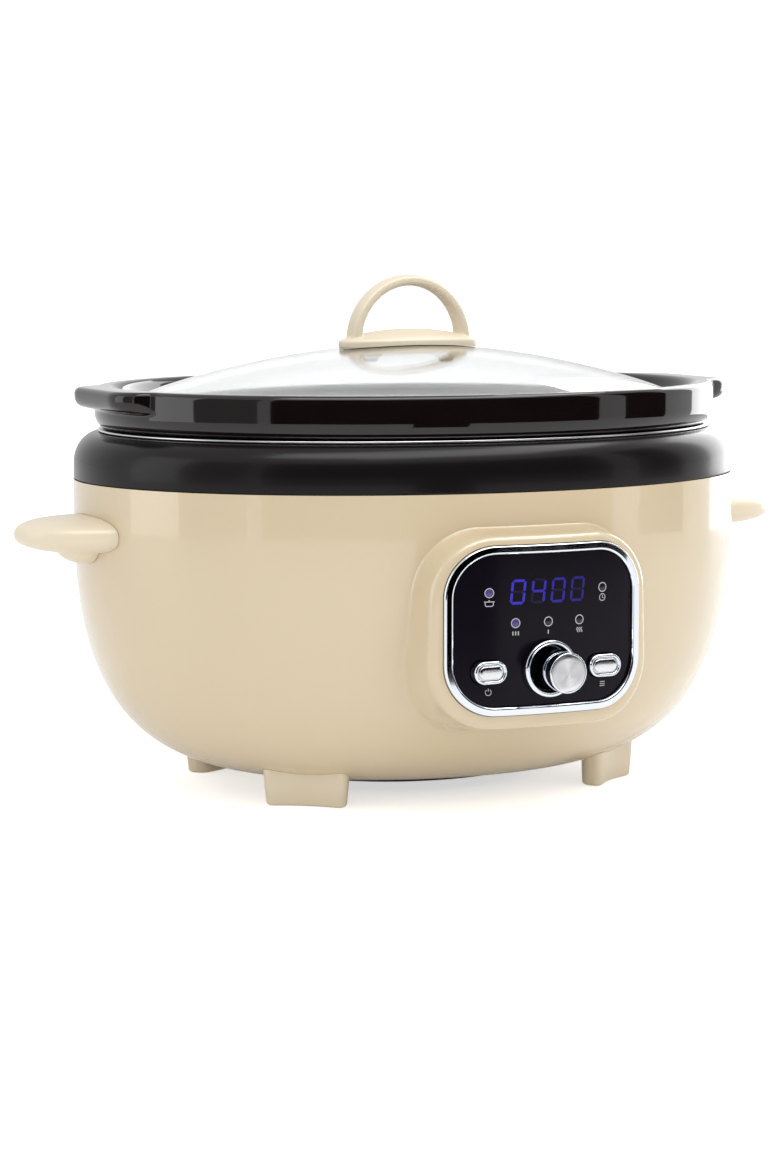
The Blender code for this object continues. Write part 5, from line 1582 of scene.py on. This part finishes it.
top = RING_FRONT
ring_rows = [(RING_HOLE, RING_BACK), (RING_RADIUS, RING_BACK), (RING_RADIUS, top - 0.0016)]
ring_rows += arc_points(RING_RADIUS - 0.0010, top - 0.0012, 0.0010, 0.0012, 0, 90, 7)
ring_rows += arc_points(RING_RADIUS - 0.0015, top - 0.0010, 0.0008, 0.0010, 80, 150, 4)
ring_rows += [(RING_HOLE + 0.0006, top - 0.0026), (RING_HOLE, top - 0.0031)]
ring_points, ring_quads = turned_ring(ring_rows, 96)
knob_ring = add_piece("dished_ring", facing_front(ring_points), ring_quads, [chrome], 60)
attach(knob_ring, "housing")
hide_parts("knob_ring")

CAP_RADIUS = (cap_high.x - cap_low.x) / 2 + 0.0003
knob_back = MIDDLE_Y - knob_high.y
skirt_back = PANEL_FRONT - FASCIA_RECESS + 0.0008
knob_rows = [(0, knob_back), (0.0028, knob_back), (0.0028, skirt_back), (KNOB_RADIUS - 0.0003, skirt_back)]
knob_rows += [(KNOB_RADIUS, skirt_back + 0.0003), (KNOB_RADIUS, KNOB_FACE - 0.0010)]
knob_rows += arc_points(KNOB_RADIUS - 0.0006, KNOB_FACE - 0.0006, 0.0006, 0.0006, 0, 90, 6)
knob_rows += [(CAP_RADIUS + 0.0001, KNOB_FACE), (CAP_RADIUS + 0.0001, KNOB_FACE - 0.0008)]
knob_rows += [(0, KNOB_FACE - 0.0008)]
knob_points, knob_faces = turned(knob_rows, 96)
knob = add_piece("knob_body", facing_front(knob_points), knob_faces, [chrome], 50)
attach(knob, "knob")
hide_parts("knob")


def spun_finish():
    """Fine circles turned into the face, which draw the light out into radial fans."""
    material, tree, shader = new_material("spun aluminium")
    place = tree.nodes.new("ShaderNodeUVMap")
    place.uv_map = "spin"
    mapping = tree.nodes.new("ShaderNodeMapping")
    mapping.inputs["Scale"].default_value = (2.0, 160.0, 1.0)
    tree.links.new(place.outputs["UV"], mapping.inputs["Vector"])
    lines = noise(tree, mapping.outputs["Vector"], 1.0, 3.0)
    vary_polish(tree, shader, lines, (0.22, 0.36))
    shade = two_tones(tree, lines, (0.78, 0.78, 0.80, 1.0), (0.92, 0.92, 0.94, 1.0))
    tree.links.new(shade.outputs["Result"], shader.inputs["Base Color"])
    raise_skin(tree, shader, lines, 0.25, 0.00004)
    grain_way = tree.nodes.new("ShaderNodeTangent")
    grain_way.direction_type = "UV_MAP"
    grain_way.uv_map = "spin"
    tree.links.new(grain_way.outputs["Tangent"], shader.inputs["Tangent"])
    shader.inputs["Metallic"].default_value = 1.0
    shader.inputs["Anisotropic"].default_value = 0.95
    return material


cap_side = CAP_RADIUS - 0.0002
cap_rows = [(0, KNOB_FACE - 0.0005), (cap_side, KNOB_FACE - 0.0005), (cap_side, KNOB_FACE)]
cap_rows += [(share * CAP_RADIUS, KNOB_FACE + 0.0001) for share in (0.93, 0.75, 0.5, 0.25, 0.06, 0)]
cap_points, cap_faces = turned(cap_rows, 96)
cap = add_piece("spun_disc", facing_front(cap_points), cap_faces, [spun_finish()], 50)
spin_map = cap.data.uv_layers.new(name="spin")
for polygon in cap.data.polygons:
    centre = polygon.center
    middle_turn = math.atan2(centre.z - KNOB_Z, centre.x)
    for corner in polygon.loop_indices:
        spot = cap.data.vertices[cap.data.loops[corner].vertex_index].co
        radius = math.hypot(spot.x, spot.z - KNOB_Z)
        turn = math.atan2(spot.z - KNOB_Z, spot.x) if radius > 0.0002 else middle_turn
        turn = middle_turn + (turn - middle_turn + math.pi) % math.tau - math.pi
        spin_map.data[corner].uv = (turn / math.tau, radius / CAP_RADIUS)
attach(cap, "knob")
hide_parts("knob_cap")


# The two push buttons: plated stadium keys with a groove round a raised, brushed centre. Each moves
# in its hole and presses a switch behind the fascia.

brushed = drawn_metal("brushed key", (0.88, 0.88, 0.90), (0.10, 0.26), (0.2, 1.0, 8.0), 0.00002)


def key_shape(rows, centre_x, front):
    """A stadium-shaped loft; a row is how far in, and how far back from the key's front."""
    loops = []
    for inset, back in rows:
        flat = rounded_loop(BUTTON_HALF, BUTTON_HALF_HEIGHT, BUTTON_CORNER, inset, 14, 8)
        level = np.full(len(flat), back - front)
        loops.append(np.stack([flat[:, 0] + centre_x, level, flat[:, 1] + BUTTON_Z], -1))
    return stacked(loops)


for name, side, low, high in (
    ("power", -1, power_low, power_high), ("menu", 1, menu_low, menu_high),
):
    front, back = MIDDLE_Y - low.y, MIDDLE_Y - high.y
    deep = front - back
    rows = [(0, deep), (0, 0.0011), (0.0002, 0.0005), (0.0006, 0.0001), (0.0011, 0.0), (0.0015, 0.0002)]
    rows += [(0.0018, 0.0009), (0.0020, 0.0012), (0.0035, 0.0012), (0.0052, 0.0012)]
    key_points, key_faces = key_shape(rows, side * BUTTON_X, front)
    key = add_piece(f"{name}_key", key_points, key_faces, [chrome], 45)
    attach(key, f"{name}_button")
    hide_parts(f"{name}_button")
    rows = [(0.0024, 0.0011), (0.0024, 0.0004), (0.0026, 0.00015), (0.0030, 0.0)]
    rows += [(0.0040, -0.0001), (0.0052, -0.00015)]
    inlay_points, inlay_faces = key_shape(rows, side * BUTTON_X, front)
    inlay = add_piece(f"{name}_key_centre", inlay_points, inlay_faces, [brushed], 45)
    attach(inlay, f"{name}_button")


# The cord gland in the rear wall: a black strain-relief bush with a grooved flange. Its bore is
# open, as the supply lead is left off.

gland_low, gland_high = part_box("cord_gland")
GLAND_Z = (gland_low.z + gland_high.z) / 2
GLAND_FLANGE = (gland_high.x - gland_low.x) / 2
GLAND_BORE = 0.0036
GLAND_SLEEVE = 0.0062
GLAND_FLANGE_THICK = 0.0030
inside, outside = gland_low.y - MIDDLE_Y, gland_high.y - MIDDLE_Y
seat = outside - GLAND_FLANGE_THICK
gland_rows = [(GLAND_BORE, inside), (GLAND_SLEEVE - 0.0004, inside), (GLAND_SLEEVE, inside + 0.0004)]
gland_rows += [(GLAND_SLEEVE, seat), (GLAND_FLANGE - 0.0003, seat), (GLAND_FLANGE, seat + 0.0003)]
gland_rows += arc_points(GLAND_FLANGE - 0.0012, outside - 0.0012, 0.0012, 0.0012, 0, 90, 6)
gland_rows += [(0.0072, outside), (0.0069, outside - 0.0006), (0.0064, outside - 0.0006), (0.0061, outside)]
gland_rows += arc_points(GLAND_BORE + 0.0008, outside - 0.0008, 0.0008, 0.0008, 90, 180, 5)
gland_points, gland_faces = turned_ring(gland_rows, 64)
x, y, z = gland_points.T
gland = add_piece("lead_bush", np.stack([x, z, y + GLAND_Z], -1), gland_faces, [black_texture], 40)
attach(gland, "housing")
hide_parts("cord_gland")


# What the shell hides: the heater band, the wrap of glass wool, the boards and switches, and the
# lead between them. Their solids stay as they are, with finishes of their own.

mica = moulded("mica", (0.42, 0.32, 0.18), (0.56, 0.46, 0.30), (0.35, 0.55), 120.0, 900.0, 0.00010)
wool = moulded("glass wool", (0.66, 0.62, 0.50), (0.80, 0.77, 0.66), (0.90, 1.00), 160.0, 700.0, 0.00120)
solder_mask = moulded(
    "solder mask", (0.006, 0.060, 0.022), (0.010, 0.095, 0.036), (0.25, 0.45), 260.0, 2200.0, 0.00003
)
window = moulded(
    "display window", (0.006, 0.006, 0.011), (0.010, 0.010, 0.018), (0.10, 0.20), 120.0, 2000.0, 0.00001
)
inner_finishes = {
    "band_heater": mica, "insulation_wrap": wool, "control_board": solder_mask, "power_board": solder_mask,
    "display_module": window, "panel_rear_cover": black_texture, "relay": black_texture,
    "power_switch": black_texture, "menu_switch": black_texture, "thermal_fuse": zinc, "encoder_body": zinc,
    "temperature_sensor": well_sheet, "panel_lead": silicone,
}
for node, finish in inner_finishes.items():
    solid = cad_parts[node]
    for finish_slot in solid.material_slots:
        finish_slot.link = "OBJECT"
        finish_slot.material = finish
